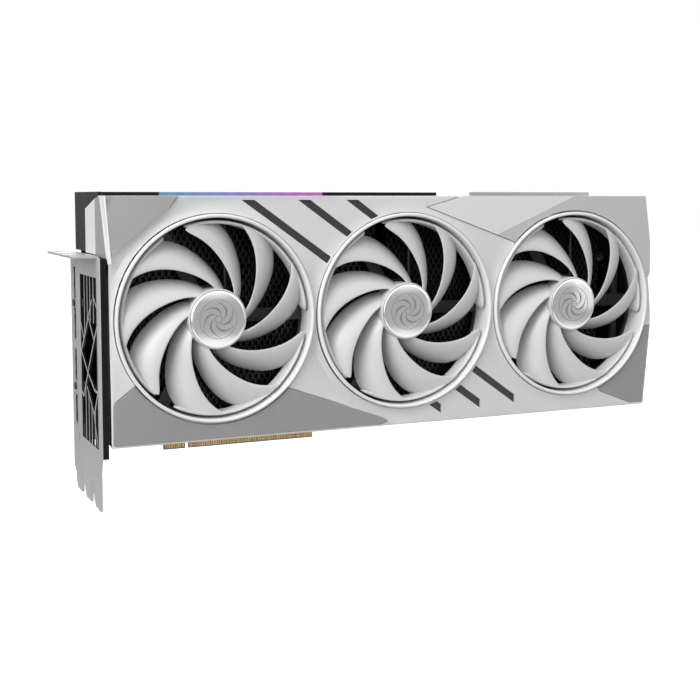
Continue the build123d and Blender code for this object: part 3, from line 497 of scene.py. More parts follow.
def sideOf(points, first, second):
    # signed distance from the straight line through two points, positive on its right
    first, second = np.asarray(first, float), np.asarray(second, float)
    run = (second - first) / np.linalg.norm(second - first)
    return (points[:, 0] - first[0]) * run[1] - (points[:, 1] - first[1]) * run[0]


# ---- shroud ----
shroud = {
    "face": 55.5, "skirtBack": 24.0, "edge": 0.6, "wall": 1.8, "top": 133.0,
    "outline": [(-56.5, 133.0), (252.4, 133.0), (256.4, 108.0), (257.1, 90.3), (255.4, 86.9), (257.6, 69.0),
                (258.0, 60.0), (254.5, 15.0), (-53.0, 15.0), (-53.0, 104.0)],
    "opening": 50.75, "leftSkirtDeep": 0.9, "cheekSkirtBack": 50.0,
    "flare": 0.9, "flareWide": 1.6, "seam": 0.22, "seamDeep": 1.2,
    # one valley beside each ring: its bearing in degrees and its share of the full depth
    "valley": 2.2, "valleyAt": [140, 218, 215], "valleyShare": [1.0, 0.9, 0.45],
    "valleyFrom": 3.4, "valleyWide": 5.2, "valleyTurn": 75,
    # lengths of the mesh's sides on the face, at the edge, along slots and along folds
    "faceStep": 3.4, "edgeStep": 4.0, "slotStep": 3.5, "foldStep": 1.5, "ringSteps": 160,
}
slots = {"slope": 35, "width": 3.8, "stop": 51.6,
         "upper": [116.0, 132.8, 147.7], "upperEnds": [131.0, 131.0, 131.0],
         "lower": [115.8, 102.5, 88.0], "lowerEnds": [168.2, 146.6, 122.8]}
ring = {"outer": 50.3, "crest": 57.3, "inner": 48.5, "back": 43.6}


def slotCorners(offset, end, width, upper):
    # four corners of a slot: a sloping band between the circle round the middle fan and its outer end,
    # which is cut level above and upright below
    slope = math.radians(slots["slope"])
    down = np.array([math.cos(slope), -math.sin(slope)])
    up = np.array([math.sin(slope), math.cos(slope)])
    centre = np.array(fanCentres[1])
    corners = []
    for line, first in ((offset - width / 2, True), (offset + width / 2, False)):
        away = line - centre @ up
        reach = math.sqrt(slots["stop"] ** 2 - away ** 2) * (-1 if upper else 1)
        atRing = centre + away * up + reach * down
        share = (end - atRing[1]) / down[1] if upper else (end - atRing[0]) / down[0]
        atEnd = atRing + down * share
        corners += [atEnd, atRing] if first else [atRing, atEnd]
    return np.array(corners)


def shroudHeight(flat):
    # depth of the face: level, with a shallow valley along one side of each ring and a small rise at the ring
    depth = np.full(len(flat), shroud["face"])
    for number, centre in enumerate(fanCentres):
        away = flat - np.array(centre)
        gap = np.linalg.norm(away, axis=1) - ring["outer"]
        bearing = np.degrees(np.arctan2(away[:, 1], away[:, 0]))
        turn = np.abs((bearing - shroud["valleyAt"][number] + 180) % 360 - 180)
        share = np.clip(1 - (turn / shroud["valleyTurn"]) ** 2, 0, 1) * shroud["valleyShare"][number]
        along = (gap - shroud["valleyFrom"]) / shroud["valleyWide"]
        depth -= shroud["valley"] * share * np.exp(-along ** 2)
        depth += shroud["flare"] * np.exp(-np.clip(gap, 0, None) / shroud["flareWide"]) * (1 - 0.6 * share)
    for corners in pocketLoops:
        sunk = inside(flat, inset(corners, -shroud["seam"]))
        depth = np.where(sunk, shroud["face"] - shroud["seamDeep"], depth)
    return depth


panels = {
    "trim_panel_top_left": {
        "corners": [(-54.6, 133.0), (-19.5, 133.0), (-24.2, 127.7), (-51.9, 104.9)],
        "finish": silverFinish, "slot": "panel_silver"},
    "trim_panel_bottom_left": {
        "corners": [(-52.0, 36.0), (-41.0, 44.5), (0.0, 60.0), (34.0, 39.0), (88.0, 19.8), (91.5, 17.5),
                    (86.5, 16.0), (-52.0, 16.0)],
        "finish": shadedSilverFinish, "slot": "panel_grey"},
    "trim_panel_top_right": {
        "corners": [(113.0, 127.3), (134.2, 133.0), (251.4, 133.0), (255.4, 108.0), (256.2, 90.6),
                    (254.6, 87.2), (204.0, 80.0), (166.0, 108.6)],
        "finish": paleFinish, "slot": "panel_silver"},
    "trim_panel_bottom_right": {
        "corners": [(257.0, 60.0), (253.7, 16.0), (246.5, 16.0), (224.0, 24.4), (204.0, 60.0)],
        "finish": shadedSilverFinish, "slot": "panel_grey"},
}
panelShape = {"top": 55.9, "bottom": 54.5, "circle": 51.2, "gap": 0.12}
# the top left panel lies flush on the face, with a joint only at its right end
pocketLoops = [panel["corners"] for name, panel in panels.items() if name != "trim_panel_top_left"]
pocketLoops.append([(-19.9, 133.0), (-19.3, 133.0), (-24.0, 127.5), (-24.6, 127.7)])


def shroudSkin():
    # the face is triangulated; the rounded edge and the skirt are its outline carried back row by row
    outline = shroud["outline"]
    cuts = [circle(centre, shroud["opening"], shroud["ringSteps"]) for centre in fanCentres]
    for group in ("upper", "lower"):
        cuts += [divided(slotCorners(offset, end, slots["width"], group == "upper"), shroud["slotStep"])
                 for offset, end in zip(slots[group], slots[f"{group}Ends"])]
    loop = divided(inset(outline, shroud["edge"]), shroud["edgeStep"], like=outline)
    lines = []
    for corners in pocketLoops:
        for distance in (-0.3, -0.14):
            # only the stretches of a ridge that lie well inside the face and outside the openings are folds
            ridge = divided(inset(corners, distance), shroud["foldStep"])
            keep = inside(ridge, inset(outline, 1.0))
            for centre in fanCentres:
                keep &= np.linalg.norm(ridge - np.array(centre), axis=1) > shroud["opening"] + 0.5
            start = int(np.argmin(keep))
            ridge, keep = np.roll(ridge, -start, axis=0), np.roll(keep, -start)
            runs = np.split(np.arange(len(ridge)), np.flatnonzero(np.diff(keep.astype(int))) + 1)
            lines += [ridge[run] for run in runs if keep[run[0]] and len(run) > 1]
    flat, faces = triangulated(loop, cuts, lines, shroud["faceStep"], 1.1)
    face = lifted(flat, shroudHeight(flat))
    turn = np.linspace(0, math.pi / 2, 6)[:, None]
    level = shroudHeight(loop)
    rows = np.stack([divided(inset(outline, shroud["edge"] * (1 - math.sin(a))), shroud["edgeStep"],
                             like=outline) for a in turn[:, 0]])
    depth = level[None] - shroud["edge"] * (1 - np.cos(turn))
    last = rows[-1]
    back = np.where(last[:, 0] < -52.9, np.where(last[:, 1] < 103.9, level - shroud["leftSkirtDeep"],
                                                 shroud["cheekSkirtBack"]), shroud["skirtBack"])
    middle = (depth[-1] + back) / 2
    rows = np.concatenate([rows, rows[-1:], rows[-1:]])
    depth = np.concatenate([depth, middle[None], back[None]])
    band = np.stack([rows[..., 0], depth, rows[..., 1]], axis=-1)
    return [(face, faces[:, ::-1]), (band.reshape(-1, 3), gridFaces(len(band), band.shape[1], False, True))]


shell = addPiece("shroudShell", shroudSkin(), shroudFinish, ["shroud"], creases=24,
                 merge=0.01)
walls = shell.modifiers.new("wallThickness", "SOLIDIFY")
walls.thickness = shroud["wall"] * mm
walls.offset = -1
walls.use_even_offset = False
bevel(shell, 0.22, 2, 48)
print("shroud skin done")

# the cheek's ring of corners (X, depth) at its top and at its foot: side, grey facet, front corner
cheek = {"low": 105.6, "cutFront": 50.5, "cornerZ": 127.0, "facet": (46.0, 53.5)}
cheekTop = np.array([(-57.0, 24.0), (-57.0, 45.5), (-56.5, 53.2), (-55.2, 55.0), (-54.4, 55.2),
                     (-54.4, 24.0)])
cheekFoot = np.array([(-57.0, 24.0), (-57.0, 45.5), (-53.9, 53.6), (-53.2, 55.0), (-52.4, 55.2),
                      (-52.4, 24.0)])
topZ = np.interp(cheekTop[:, 1], [24.0, cheek["cutFront"]], [cheek["cornerZ"], shroud["top"]])
footZ = cheek["low"] - 2.6 * np.clip((cheekFoot[:, 1] - 45.5) / 7.0, 0, 1)
cheekPoints = np.concatenate([np.insert(cheekFoot, 2, footZ, axis=1), np.insert(cheekTop, 2, topZ, axis=1)])
count = len(cheekTop)
cheekFaces = [*gridFaces(2, count, False, True).tolist(), list(range(count))[::-1],
              list(range(count, 2 * count))]
cheekPiece = addPiece("shroudCheek", (cheekPoints, cheekFaces), [shroudFinish, shadedSilverFinish])
for side in cheekPiece.data.polygons:
    # painted shade: the facet between the side and the front corner takes the darker copy of the trim paint,
    # for the shade on that facet
    if side.normal.x < -0.5 and cheek["facet"][0] < -side.center.y / mm < cheek["facet"][1]:
        side.material_index = 1
bevel(cheekPiece, 0.4, 3)
# a bright chamfer runs down the front corner, narrower towards its foot
stripeTop = np.array([(-56.7, 53.0), (-54.7, 55.95), (-54.3, 55.9), (-54.3, 54.0)])
stripeFoot = np.array([(-53.5, 54.2), (-52.2, 55.95), (-51.8, 55.9), (-51.8, 54.2)])
stripePoints = np.concatenate([np.insert(stripeFoot, 2, 101.4, axis=1),
                               np.insert(stripeTop, 2, 132.9, axis=1)])
stripeFaces = [*gridFaces(2, 4, False, True).tolist(), [3, 2, 1, 0], [4, 5, 6, 7]]
bevel(addPiece("cornerChamfer", (stripePoints, stripeFaces), ringFinish), 0.15, 2)

# behind the skin's left edge the shroud's wall, with upright ribs, is black: painted shade for that side,
# which lies in shadow
sideWall = {"x": -52.9, "inner": -51.2, "low": 15.6, "high": 103.6, "back": 24.0, "front": 52.6,
            "ribs": [27.5, 34.0, 40.5, 47.0], "ribWide": 1.4, "ribTall": 0.5}
lows = [(sideWall["x"], sideWall["back"], sideWall["low"])]
highs = [(sideWall["inner"], sideWall["front"], sideWall["high"])]
for depth in sideWall["ribs"]:
    lows.append((sideWall["x"] - sideWall["ribTall"], depth, sideWall["low"] + 1))
    highs.append((sideWall["inner"], depth + sideWall["ribWide"], sideWall["high"] - 1))
bevel(addPiece("sideRibs", boxes(lows, highs), blackFinish, merge=0), 0.2, 2)


def panelTop(name):
    # two panels are folded: their height falls away from a fold line on both sides, more slowly on one; the
    # other two only slope
    level = panelShape["top"]

    def topLeft(flat):
        return level - 0.004 * (133 - flat[:, 1])

    def bottomLeft(flat):
        fold = sideOf(flat, (17.1, 18.6), (61.3, 30.5))
        return level + 0.1 - 0.012 * np.clip(fold, 0, None) - 0.004 * np.clip(-fold, 0, None)

    def topRight(flat):
        fold = np.maximum(sideOf(flat, (157.0, 113.5), (194.7, 129.2)),
                          sideOf(flat, (194.7, 129.2), (207.6, 133.5)))
        return level + 0.35 - 0.011 * np.clip(fold, 0, None) - 0.010 * np.clip(-fold, 0, None)

    def bottomRight(flat):
        return level - 0.010 * np.clip(60 - flat[:, 1], 0, None)
    return {"trim_panel_top_left": topLeft, "trim_panel_bottom_left": bottomLeft,
            "trim_panel_top_right": topRight, "trim_panel_bottom_right": bottomRight}[name]


panelFolds = {
    "trim_panel_top_left": [],
    "trim_panel_bottom_left": [[(17.1, 18.6), (61.3, 30.2)]],
    "trim_panel_top_right": [[(157.0, 113.5), (194.7, 129.2), (202.0, 131.6)]],
    "trim_panel_bottom_right": [],
}
for name, panel in panels.items():
    corners = inset(panel["corners"], panelShape["gap"])
    loop = divided(corners, 3.0)
    cuts = [circle(centre, panelShape["circle"], 160) for centre in fanCentres
            if nearLine(np.array([centre]), loop)[0] < panelShape["circle"] + 1
            or inside(np.array([centre]), loop)[0]]
    folds = [divided(fold, 3.0, closed=False) for fold in panelFolds[name]]
    plate = slab(loop, cuts, folds, panelTop(name), panelShape["bottom"], 3.6, 1.0)
    piece = addPiece(name.replace("trim_panel", "panel"), plate, panel["finish"], [name],
                     creases=30)
    bevel(piece, 0.3, 2, 40)
print("trim panels done")

for group in ("upper", "lower"):
    refined(f"accentBars_{group}", f"accent_bars_{group}", barFinish, 0.25)

# ---- rings ----
ringProfile = [(49.4, ring["back"]), (49.4, 55.45), (ring["outer"], 55.3), (ring["outer"] + 0.1, 56.3),
               (50.2, 56.85), (49.9, 57.15), (49.5, ring["crest"]), (49.05, 57.22), (48.75, 56.95),
               (48.58, 56.4), (ring["inner"], 55.4), (ring["inner"], 50.0),
               (ring["inner"] + 0.1, ring["back"])]
for number, centre in enumerate(fanCentres):
    addPiece(f"fanRing_{number + 1}", turned(ringProfile, centre, 192), ringFinish,
             [f"fan_ring_{number + 1}"], creases=50)
print("rings done")

# ---- fans ----
blade = {
    # radius, sweep of the middle in degrees, chord, pitch in degrees, camber
    "sections": [(14.6, -1.3, 12.0, 52.8, 1.0), (20.0, 15.4, 14.2, 46.0, 1.4), (26.0, 26.9, 16.5, 39.4, 1.8),
                 (36.0, 43.6, 20.4, 31.3, 2.4), (46.0, 58.9, 25.4, 24.1, 2.6)],
    "count": 9, "root": 13.6, "tip": 46.7, "depth": 49.9, "thick": 1.3, "rootThick": 2.0,
    "roundFrom": 39.5, "roundBy": 5.5,
}
rim = {"inner": 45.6, "outer": 47.2, "back": 46.6, "front": 54.6, "starts": [3.0, 123.0, 243.0],
       "span": 106.0, "taper": 5.0}
hub = {"radius": 14.7, "back": 45.5, "wall": 0.45}
bladeTable = np.array(blade["sections"])
bladeCurves = [np.polyfit(bladeTable[:, 0], bladeTable[:, column], 3) for column in range(1, 5)]


def bladeShell(turn, freeLead, freeTrail, rows=34, columns=30):
    # P(r, s): the section at radius r is a flattened oval s = 0..1 round a cambered chord, tilted by the
    # pitch and wrapped round the axis, so a chord length c becomes the angle c / r
    radius = np.linspace(blade["root"], blade["tip"], rows)[:, None]
    sweep, chord, pitch, camber = [np.polyval(curve, radius) for curve in bladeCurves]
    pitch = np.radians(pitch)
    loop = np.linspace(0, 2 * np.pi, columns, endpoint=False)[None]
    ease = np.clip((radius - blade["roundFrom"]) / (blade["tip"] - blade["roundFrom"]), 0, 1)
    corner = blade["roundBy"] * (1 - np.sqrt(np.clip(1 - ease ** 3, 0, 1)))
    lead = chord / 2 - corner * freeLead
    trail = -chord / 2 + corner * 0.5 * freeTrail
    along = (lead + trail) / 2 + (lead - trail) / 2 * np.sign(np.cos(loop)) * np.abs(np.cos(loop)) ** 0.85
    thick = np.interp(radius, [blade["root"], 24, blade["tip"]], [blade["rootThick"], blade["thick"], 1.1])
    off = thick / 2 * np.sign(np.sin(loop)) * np.abs(np.sin(loop)) ** 0.75
    off = off + camber * (1 - (2 * along / chord) ** 2)
    angle = np.radians(turn + sweep) + (along * np.cos(pitch) - off * np.sin(pitch)) / radius
    depth = blade["depth"] + along * np.sin(pitch) + off * np.cos(pitch)
    points = np.stack([radius * np.cos(angle), depth, radius * np.sin(angle)], axis=-1)
    faces = gridFaces(rows, columns, False, True).tolist()
    last = (rows - 1) * columns
    return points.reshape(-1, 3), [*faces, list(range(columns)), list(range(last, last + columns))[::-1]]


def rimArc(start, steps=72):
    # a rounded band along an arc; near both ends its section shrinks to a point like a petal's tip
    angle = np.linspace(0, rim["span"], steps)[:, None]
    near = np.clip(np.minimum(angle, rim["span"] - angle) / rim["taper"], 0.02, 1)
    fade = np.sqrt(np.clip(1 - (1 - near) ** 2, 0, 1))
    width, tall = rim["outer"] - rim["inner"], rim["front"] - rim["back"]
    section = np.array([(0, 0), (0, 0.86), (0.1, 0.95), (0.35, 1), (0.65, 1), (0.9, 0.95), (1, 0.86), (1, 0)])
    radius = rim["outer"] - 0.3 + (section[:, 0] * width - width + 0.3) * fade
    depth = rim["front"] - 2.2 + (rim["back"] + section[:, 1] * tall - rim["front"] + 2.2) * fade
    turn = np.radians(start + angle)
    points = np.stack([radius * np.cos(turn), depth, radius * np.sin(turn)], axis=-1)
    size = len(section)
    last = (steps - 1) * size
    faces = gridFaces(steps, size, False, True).tolist()
    return points.reshape(-1, 3), [*faces, list(range(size)), list(range(last, last + size))[::-1]]


def placed(part, centre, turn):
    # a part made about the fan axis, turned by some degrees and moved to its fan
    points = np.asarray(part[0], float)
    a = math.radians(turn)
    x = points[:, 0] * math.cos(a) - points[:, 2] * math.sin(a)
    z = points[:, 0] * math.sin(a) + points[:, 2] * math.cos(a)
    return np.stack([x + centre[0], points[:, 1], z + centre[1]], axis=1), part[1]


def pole(profile, steps=96):
    # a closed turned solid whose profile starts and ends on the axis
    points, faces = turned(profile, (0, 0), steps, False)
    return points.reshape(-1, 3), faces.tolist()


hubProfile = [(0, 54.9), (13.8, 54.9), (13.85, 55.9), (13.95, 56.1), (14.2, 56.15), (14.45, 56.0),
              (14.6, 55.75), (hub["radius"], 55.3), (hub["radius"], hub["back"]),
              (hub["radius"] - hub["wall"], hub["back"]),
              (hub["radius"] - hub["wall"], 53.7), (0, 53.7)]
capShape = {"radius": 13.7, "edge": 56.35, "middle": 57.1}
capRadii = np.linspace(0, capShape["radius"] - 0.25, 22)


def capDepth(radius):
    # a shallow dome
    return capShape["middle"] - (capShape["middle"] - capShape["edge"]) * (radius / capShape["radius"]) ** 2


def stroke(path, widths, top, bottom):
    # a raised line: a path in the fan's plane given a width, standing from bottom to top above the dome
    path = np.asarray(path, float)
    run = np.gradient(path, axis=0)
    run /= np.linalg.norm(run, axis=1, keepdims=True)
    side = np.stack([-run[:, 1], run[:, 0]], axis=1) * (np.asarray(widths, float)[:, None] / 2)
    left, right = path + side, path - side
    rows = []
    for edge, lift in ((left, top), (right, top), (right, bottom), (left, bottom)):
        rows.append(np.stack([edge[:, 0], capDepth(np.linalg.norm(edge, axis=1)) + lift, edge[:, 1]], axis=1))
    points = np.stack(rows, axis=1)
    last = (len(path) - 1) * 4
    return points.reshape(-1, 3), [*gridFaces(len(path), 4, False, True).tolist(), [0, 1, 2, 3],
                                   [last + 3, last + 2, last + 1, last]]


def emblem():
    # a plain pinwheel: curled petals, each drawn twice, inside two thin circles
    parts = []
    t = np.linspace(0, 1, 26)
    for petal in range(6):
        for curl, reach, wide in ((95, 8.6, 0.42), (62, 7.2, 0.26)):
            angle = np.radians(60 * petal + curl * t)
            radius = 2.4 + (reach - 2.4) * t
            path = np.stack([radius * np.cos(angle), radius * np.sin(angle)], axis=1)
            parts.append(stroke(path, wide * (0.35 + np.sin(np.pi * np.clip(t, 0.03, 0.97))), 0.07, -0.1))
    for radius, wide in ((1.7, 0.3), (9.4, 0.22)):
        angle = np.linspace(0, 2 * np.pi, 90)
        path = np.stack([radius * np.cos(angle), radius * np.sin(angle)], axis=1)
        parts.append(stroke(path, np.full(90, wide), 0.07, -0.1))
    return parts


for number, (centre, turn) in enumerate(zip(fanCentres, fanPlace["restTurns"])):
    fan = fanNames[number]
    parts = [pole(hubProfile)]
    for index in range(blade["count"]):
        parts.append(bladeShell(index * 40.0, index % 3 == 1, index % 3 == 2))
    parts += [rimArc(start) for start in rim["starts"]]
    addPiece(f"rotor_{number + 1}", [placed(part, centre, turn) for part in parts], fanFinish,
             [f"{fan}_rotor"], fan, creases=38)
    profile = [(r, capDepth(r)) for r in capRadii] + [(capShape["radius"], capShape["edge"] - 0.1),
                                                      (capShape["radius"], 55.0), (0, 55.0)]
    cap = addPiece(f"hubCap_{number + 1}", placed(pole(profile, 144), centre, turn), capFinish,
                   [f"{fan}_hub_cap"], fan, creases=40)
    # the cap's own map: u runs once round the axis, v from the middle to the edge
    spots = np.empty(len(cap.data.vertices) * 3)
    cap.data.vertices.foreach_get("co", spots)
    spots = spots.reshape(-1, 3) / mm
    loops = np.empty(len(cap.data.loops), dtype=int)
    cap.data.loops.foreach_get("vertex_index", loops)
    away = spots[loops][:, [0, 2]] - np.array(centre)
    bearing = np.arctan2(away[:, 1], away[:, 0]) / (2 * np.pi)
    starts = np.empty(len(cap.data.polygons), dtype=int)
    cap.data.polygons.foreach_get("loop_start", starts)
    first = np.repeat(bearing[starts], np.diff(np.append(starts, len(loops))))
    bearing = bearing - np.round(bearing - first)
    turnMap = cap.data.uv_layers.new(name="turnMap")
    turnMap.data.foreach_set("uv", np.stack([bearing, np.linalg.norm(away, axis=1) / capShape["radius"]],
                                            axis=1).ravel())
    strokes = [placed(part, centre, turn) for part in emblem()]
    addPiece(f"capEmblem_{number + 1}", strokes, etchFinish, (), fan, creases=40, merge=0)
print("fans done")

# ---- parts that keep their CAD shape, with softened edges ----
for name, node, finish, slot, width in (
        ("slotBracket", "io_bracket", steelFinish, "bracket_steel", 0.12),
        ("bracketScrews", "bracket_screws", screwFinish, "screw_black", 0.25),
        ("backplateSheet", "backplate", backFinish, "backplate_silver", 0.3),
        ("backplateScrews", "backplate_screws", screwFinish, "screw_black", 0.15),
        ("springCross", "spring_bracket", steelFinish, "steel", 0.2),
        ("springScrews", "spring_screws", screwFinish, "screw_black", 0.15),
        ("topHousing", "top_housing", blackFinish, "frame_black", 0.25),
        ("midFrame", "mid_frame", blackFinish, "frame_black", 0.25),
        ("powerSocket", "power_socket", socketFinish, "socket_black", 0.15),
        ("displayShells", "displayport_sockets", portFinish, "port_steel", 0.1),
        ("hdmiShell", "hdmi_socket", portFinish, "port_steel", 0.1),
        ("chokeBlocks", "chokes", chipFinish, "chip_black", 0.3),
        ("coldPlate", "cold_plate", nickelFinish, "nickel", 0.4),
        ("memoryChips", "memory_chips", chipFinish, "chip_black", 0.08)):
    refined(name, node, finish, width)
# painted shade: the grille's cut edges, whose sides lie in shadow, take the black screw finish
bracketPiece = bpy.data.objects["slotBracket"]
bracketPiece.data.materials.append(screwFinish.material)
grille = {"near": 17.0, "far": 53.2, "low": 14.2, "high": 95.8}
for side in bracketPiece.data.polygons:
    spot = side.center / mm
    if (abs(side.normal.x) < 0.5 and grille["near"] < -spot.y < grille["far"]
            and grille["low"] < spot.z < grille["high"]):
        side.material_index = 1
# the stiffening lip along the bracket's front edge, with two pressed ribs, is black as painted shade for its
# shadowed front face
lip = {"x": (-57.8, -54.2), "depth": (53.6, 54.5), "z": (10.0, 104.3),
       "ribX": (-56.6, -55.2), "rib": 0.5}
lows = [(lip["x"][0], lip["depth"][0], lip["z"][0])]
highs = [(lip["x"][1], lip["depth"][1], lip["z"][1])]
for x in lip["ribX"]:
    lows.append((x, lip["depth"][1] - 0.2, lip["z"][0] + 1))
    highs.append((x + lip["rib"], lip["depth"][1] + 0.25, lip["z"][1] - 1))
bevel(addPiece("bracketLip", boxes(lows, highs), blackFinish, merge=0), 0.12, 2)
for number, fan in enumerate(fanNames):
    refined(f"fanFrame_{number + 1}", f"{fan}_frame", frameFinish, 0.3)
keptParts = {
    "heat_pipes_straight": nickelFinish, "heat_pipes_bent": nickelFinish, "circuit_board": boardFinish,
    "light_bar_board": boardFinish, "edge_contacts": goldFinish, "gpu_package": packageFinish,
    "gpu_die": dieFinish, "thermal_pads": padFinish, "power_stages": chipFinish, "capacitors": canFinish,
    "fan_leads": leadFinish, "fan_plugs": plugFinish, "light_bar": lightFinish,
}
for fan in fanNames:
    keptParts.update({f"{fan}_magnet_ring": magnetFinish, f"{fan}_shaft": shaftFinish,
                      f"{fan}_bearing": bearingFinish, f"{fan}_stator": copperFinish})
for node, finish in keptParts.items():
    # each goes into every material place of its node
    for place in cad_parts[node].material_slots:
        place.material = finish.material
print("frame parts dressed")

# ---- fins ----
fins = {"thick": 0.32, "pitch": 1.6, "back": 9.6, "front": 38.0, "low": 20.0, "high": 124.4,
        "tabLong": 3.4, "tabPitch": 5.6, "tabWide": 1.15, "tabThick": 0.25,
        "tieDepths": [14.0, 34.0], "tieWide": 3.0, "tieThick": 0.6}
stacks = {"finsLeft": (-46.0, 87, "fin_stack_left"), "finsRight": (98.8, 85, "fin_stack_right")}
for name, (start, number, node) in stacks.items():
    x = start + fins["pitch"] * np.arange(number)
    plateLow = np.stack([x, np.full(number, fins["back"]), np.full(number, fins["low"])], axis=1)
    plateSize = np.array([fins["thick"], fins["front"] - fins["back"], fins["high"] - fins["low"]])
    plates = boxes(plateLow, plateLow + plateSize)
    # short tabs folded over at the front edge, staggered from one fin to the next
    rows = np.arange(fins["low"] + 1.0, fins["high"] - fins["tabPitch"], fins["tabPitch"])
    tabX, tabZ = np.meshgrid(x[:-1], rows, indexing="ij")
    tabZ = tabZ + (np.arange(number - 1) % 2)[:, None] * fins["tabPitch"] / 2
    low = np.stack([tabX, np.full_like(tabX, fins["front"] - fins["tabThick"]), tabZ], axis=-1).reshape(-1, 3)
    high = low + np.array([fins["tabWide"], fins["tabThick"] + 0.25, fins["tabLong"]])
    tieLow = np.array([(start, depth - fins["tieWide"] / 2, z) for depth in fins["tieDepths"]
                       for z in (fins["low"], fins["high"] - fins["tieThick"])])
    ties = boxes(tieLow, tieLow + np.array([x[-1] + 0.3 - start, fins["tieWide"], fins["tieThick"]]))
    addPiece(name, [plates, boxes(low, high), ties], finFinish, [node], creases=20, merge=0)
print("fins done")

# ---- small parts ----
# the far end behind the third fan is closed by a black plate, painted shade for the shadowed inside of that
# end, with an upright rib
bevel(addPiece("endShadePlate", boxes([(233.4, 5.0, 17.0), (251.6, 6.0, 17.0)], [(252.0, 6.4, 127.0),
                                                                             (252.8, 40.8, 127.0)]),
               blackFinish, merge=0), 0.2)
endRib = boxes([(245.6, 34.0, 17.2)], [(248.8, 37.2, 131.0)])
bevel(addPiece("endRib", endRib, frameFinish), 0.5)

power = {"x": 161.0, "depth": 5.0, "pitch": 3.0, "row": 1.55, "pin": 0.8, "low": 121.2, "high": 127.5}
pinX = power["x"] + (np.arange(6) - 2.5) * power["pitch"]
pinSpots = [(x, power["depth"] + side * power["row"]) for x in pinX for side in (-1, 1)]
pinLow = np.array([(x - power["pin"] / 2, d - power["pin"] / 2, power["low"]) for x, d in pinSpots])
pinHigh = pinLow + np.array([power["pin"], power["pin"], power["high"] - power["low"]])
webLow = [(power["x"] - 9.2, power["depth"] - 0.18, power["low"]), *[(x + power["pitch"] / 2 - 0.18,
          power["depth"] - 2.9, power["low"]) for x in pinX[:-1]]]
webHigh = [(power["x"] + 9.2, power["depth"] + 0.18, power["high"] + 1.6),
           *[(x + power["pitch"] / 2 + 0.18, power["depth"] + 2.9, power["high"] + 1.2) for x in pinX[:-1]]]
bevel(addPiece("powerPins", boxes(pinLow, pinHigh), goldFinish, merge=0), 0.15, 2)
addPiece("powerWebs", boxes(webLow, webHigh), socketFinish, merge=0)

ports = {"mouth": -58.3, "end": -46.6, "depth": 3.6, "displayZ": [90.0, 69.4, 48.4], "displayHalf": 6.4,
         "hdmiZ": 26.0, "hdmiHalf": 5.6, "tongue": 0.55}
tongueZ = [(z, ports["displayHalf"]) for z in ports["displayZ"]] + [(ports["hdmiZ"], ports["hdmiHalf"])]
low = [(ports["mouth"] + 1.6, ports["depth"] - ports["tongue"], z - half) for z, half in tongueZ]
high = [(ports["end"] + 0.4, ports["depth"] + ports["tongue"], z + half) for z, half in tongueZ]
bevel(addPiece("portTongues", boxes(low, high), socketFinish, merge=0), 0.12, 2)
stripZ = np.concatenate([z + np.linspace(-half + 0.7, half - 0.7, 10) for z, half in tongueZ])
stripLow = np.stack([np.full(len(stripZ), ports["mouth"] + 2.1), np.full(len(stripZ), ports["depth"] - 0.63),
                     stripZ - 0.2], axis=1)
addPiece("portContacts", boxes(stripLow, stripLow + np.array([8.0, 1.26, 0.4])), goldFinish, merge=0)

# a row of tiny coupling capacitors stands above the contacts on both faces of the board
rowX = np.concatenate([np.arange(4.0, 70.0, 2.0), np.arange(-10.0, -2.0, 2.0)])
chipLow = np.concatenate([np.stack([rowX, np.full(len(rowX), side), np.full(len(rowX), 7.0)], axis=1)
                          for side in (0.8, -1.25)])
addPiece("couplingBodies", boxes(chipLow + np.array([0, 0, 0.25]), chipLow + np.array([0.6, 0.45, 1.05])),
         paint("ceramicBody", (0.30, 0.22, 0.15), 0.5, 0.3, 0.1), merge=0)
ends = np.concatenate([boxes(chipLow, chipLow + np.array([0.6, 0.45, 0.25]))[0].reshape(-1, 8, 3),
                       boxes(chipLow + np.array([0, 0, 1.05]), chipLow + np.array([0.6, 0.45, 1.3]))[0]
                       .reshape(-1, 8, 3)])
addPiece("couplingEnds", boxes(ends[:, 0], ends[:, 6]), canFinish, merge=0)
print("small parts done")

# ---- stage and light ----
stage = {"floorZ": -0.0148, "floorSize": 6.0, "sky": 1.0, "high": 0.95, "level": 0.34, "low": 0.85}
floorMesh = bpy.data.meshes.new("paleFloor")
half = stage["floorSize"] / 2
floorMesh.from_pydata([(-half, -half, stage["floorZ"]), (half, -half, stage["floorZ"]),
                       (half, half, stage["floorZ"]), (-half, half, stage["floorZ"])], [], [(0, 1, 2, 3)])
floor = bpy.data.objects.new("paleFloor", floorMesh)
bpy.context.collection.objects.link(floor)
floorFinish = Finish("paleFloorPaint", (0.5, 0.5, 0.5), 0.9)
floorFinish.shader.inputs["Emission Color"].default_value = (1, 1, 1, 1)
floorFinish.shader.inputs["Emission Strength"].default_value = 0.84
floorFinish.roughen(floorFinish.remap(floorFinish.noise(3, 2), 0.3, 0.7, 0.85, 0.95))
floorMesh.materials.append(floorFinish.material)
floor.visible_diffuse = False
floor.visible_glossy = False

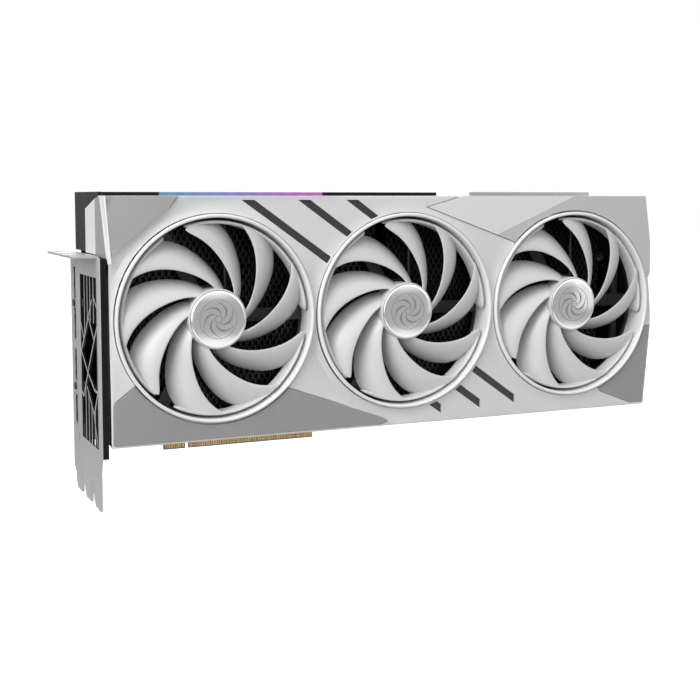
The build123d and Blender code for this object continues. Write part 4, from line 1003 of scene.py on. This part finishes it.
# the studio: plain white to the eye; as light, bright overhead and grey around the horizon
world = bpy.data.worlds.new("studio")
bpy.context.scene.world = world
world.use_nodes = True
nodes, links = world.node_tree.nodes, world.node_tree.links
seen = nodes["Background"]
seen.inputs["Color"].default_value = (1, 1, 1, 1)
seen.inputs["Strength"].default_value = stage["sky"]
lit = nodes.new("ShaderNodeBackground")
direction = nodes.new("ShaderNodeTexCoord")
parts = nodes.new("ShaderNodeSeparateXYZ")
links.new(direction.outputs["Generated"], parts.inputs[0])
height = nodes.new("ShaderNodeValToRGB")
height.color_ramp.elements[0].position = 0.0
height.color_ramp.elements[0].color = (stage["low"],) * 3 + (1,)
height.color_ramp.elements[1].position = 1.0
height.color_ramp.elements[1].color = (stage["high"],) * 3 + (1,)
for spot, value in ((0.36, stage["low"]), (0.39, stage["level"]), (0.525, stage["level"]),
                    (0.56, stage["high"])):
    height.color_ramp.elements.new(spot).color = (value,) * 3 + (1,)
share = nodes.new("ShaderNodeMapRange")
share.inputs["From Min"].default_value = -1
links.new(parts.outputs["Z"], share.inputs["Value"])
links.new(share.outputs["Result"], height.inputs["Fac"])
links.new(height.outputs["Color"], lit.inputs["Color"])
rays = nodes.new("ShaderNodeLightPath")
rayPower = nodes.new("ShaderNodeMapRange")
rayPower.inputs["To Min"].default_value, rayPower.inputs["To Max"].default_value = 0.45, 1.4
links.new(rays.outputs["Is Glossy Ray"], rayPower.inputs["Value"])
links.new(rayPower.outputs["Result"], lit.inputs["Strength"])
mixed = nodes.new("ShaderNodeMixShader")
links.new(rays.outputs["Is Camera Ray"], mixed.inputs["Fac"])
links.new(lit.outputs["Background"], mixed.inputs[1])
links.new(seen.outputs["Background"], mixed.inputs[2])
links.new(mixed.outputs["Shader"], nodes["World Output"].inputs["Surface"])

lamps = {
    # name: place, aimed at, width, height, watts
    "keyLeft": ((-1.25, -0.75, 0.85), (0.08, -0.03, 0.07), 1.0, 1.0, 21.0),
    "frontSoft": ((-0.55, -1.5, 0.45), (0.10, -0.03, 0.07), 1.6, 1.2, 5.8),
    "topSoft": ((0.15, -0.45, 1.35), (0.10, -0.03, 0.07), 1.5, 0.8, 3.5),
    "fillRight": ((1.35, -0.9, 0.45), (0.12, -0.03, 0.07), 0.9, 1.2, 1.6),
    "backSoft": ((0.2, 1.4, 0.9), (0.10, 0.0, 0.07), 1.4, 0.9, 6.0),
}
for name, (place, aim, width, tall, watts) in lamps.items():
    lampData = bpy.data.lights.new(name, "AREA")
    lampData.shape = "RECTANGLE"
    lampData.size, lampData.size_y, lampData.energy = width, tall, watts
    lamp = bpy.data.objects.new(name, lampData)
    bpy.context.collection.objects.link(lamp)
    lamp.location = place
    lamp.rotation_euler = (Vector(aim) - Vector(place)).to_track_quat("-Z", "Y").to_euler()
    lamp.visible_camera = False
bpy.context.scene.view_settings.view_transform = "Standard"
print("stage ready")
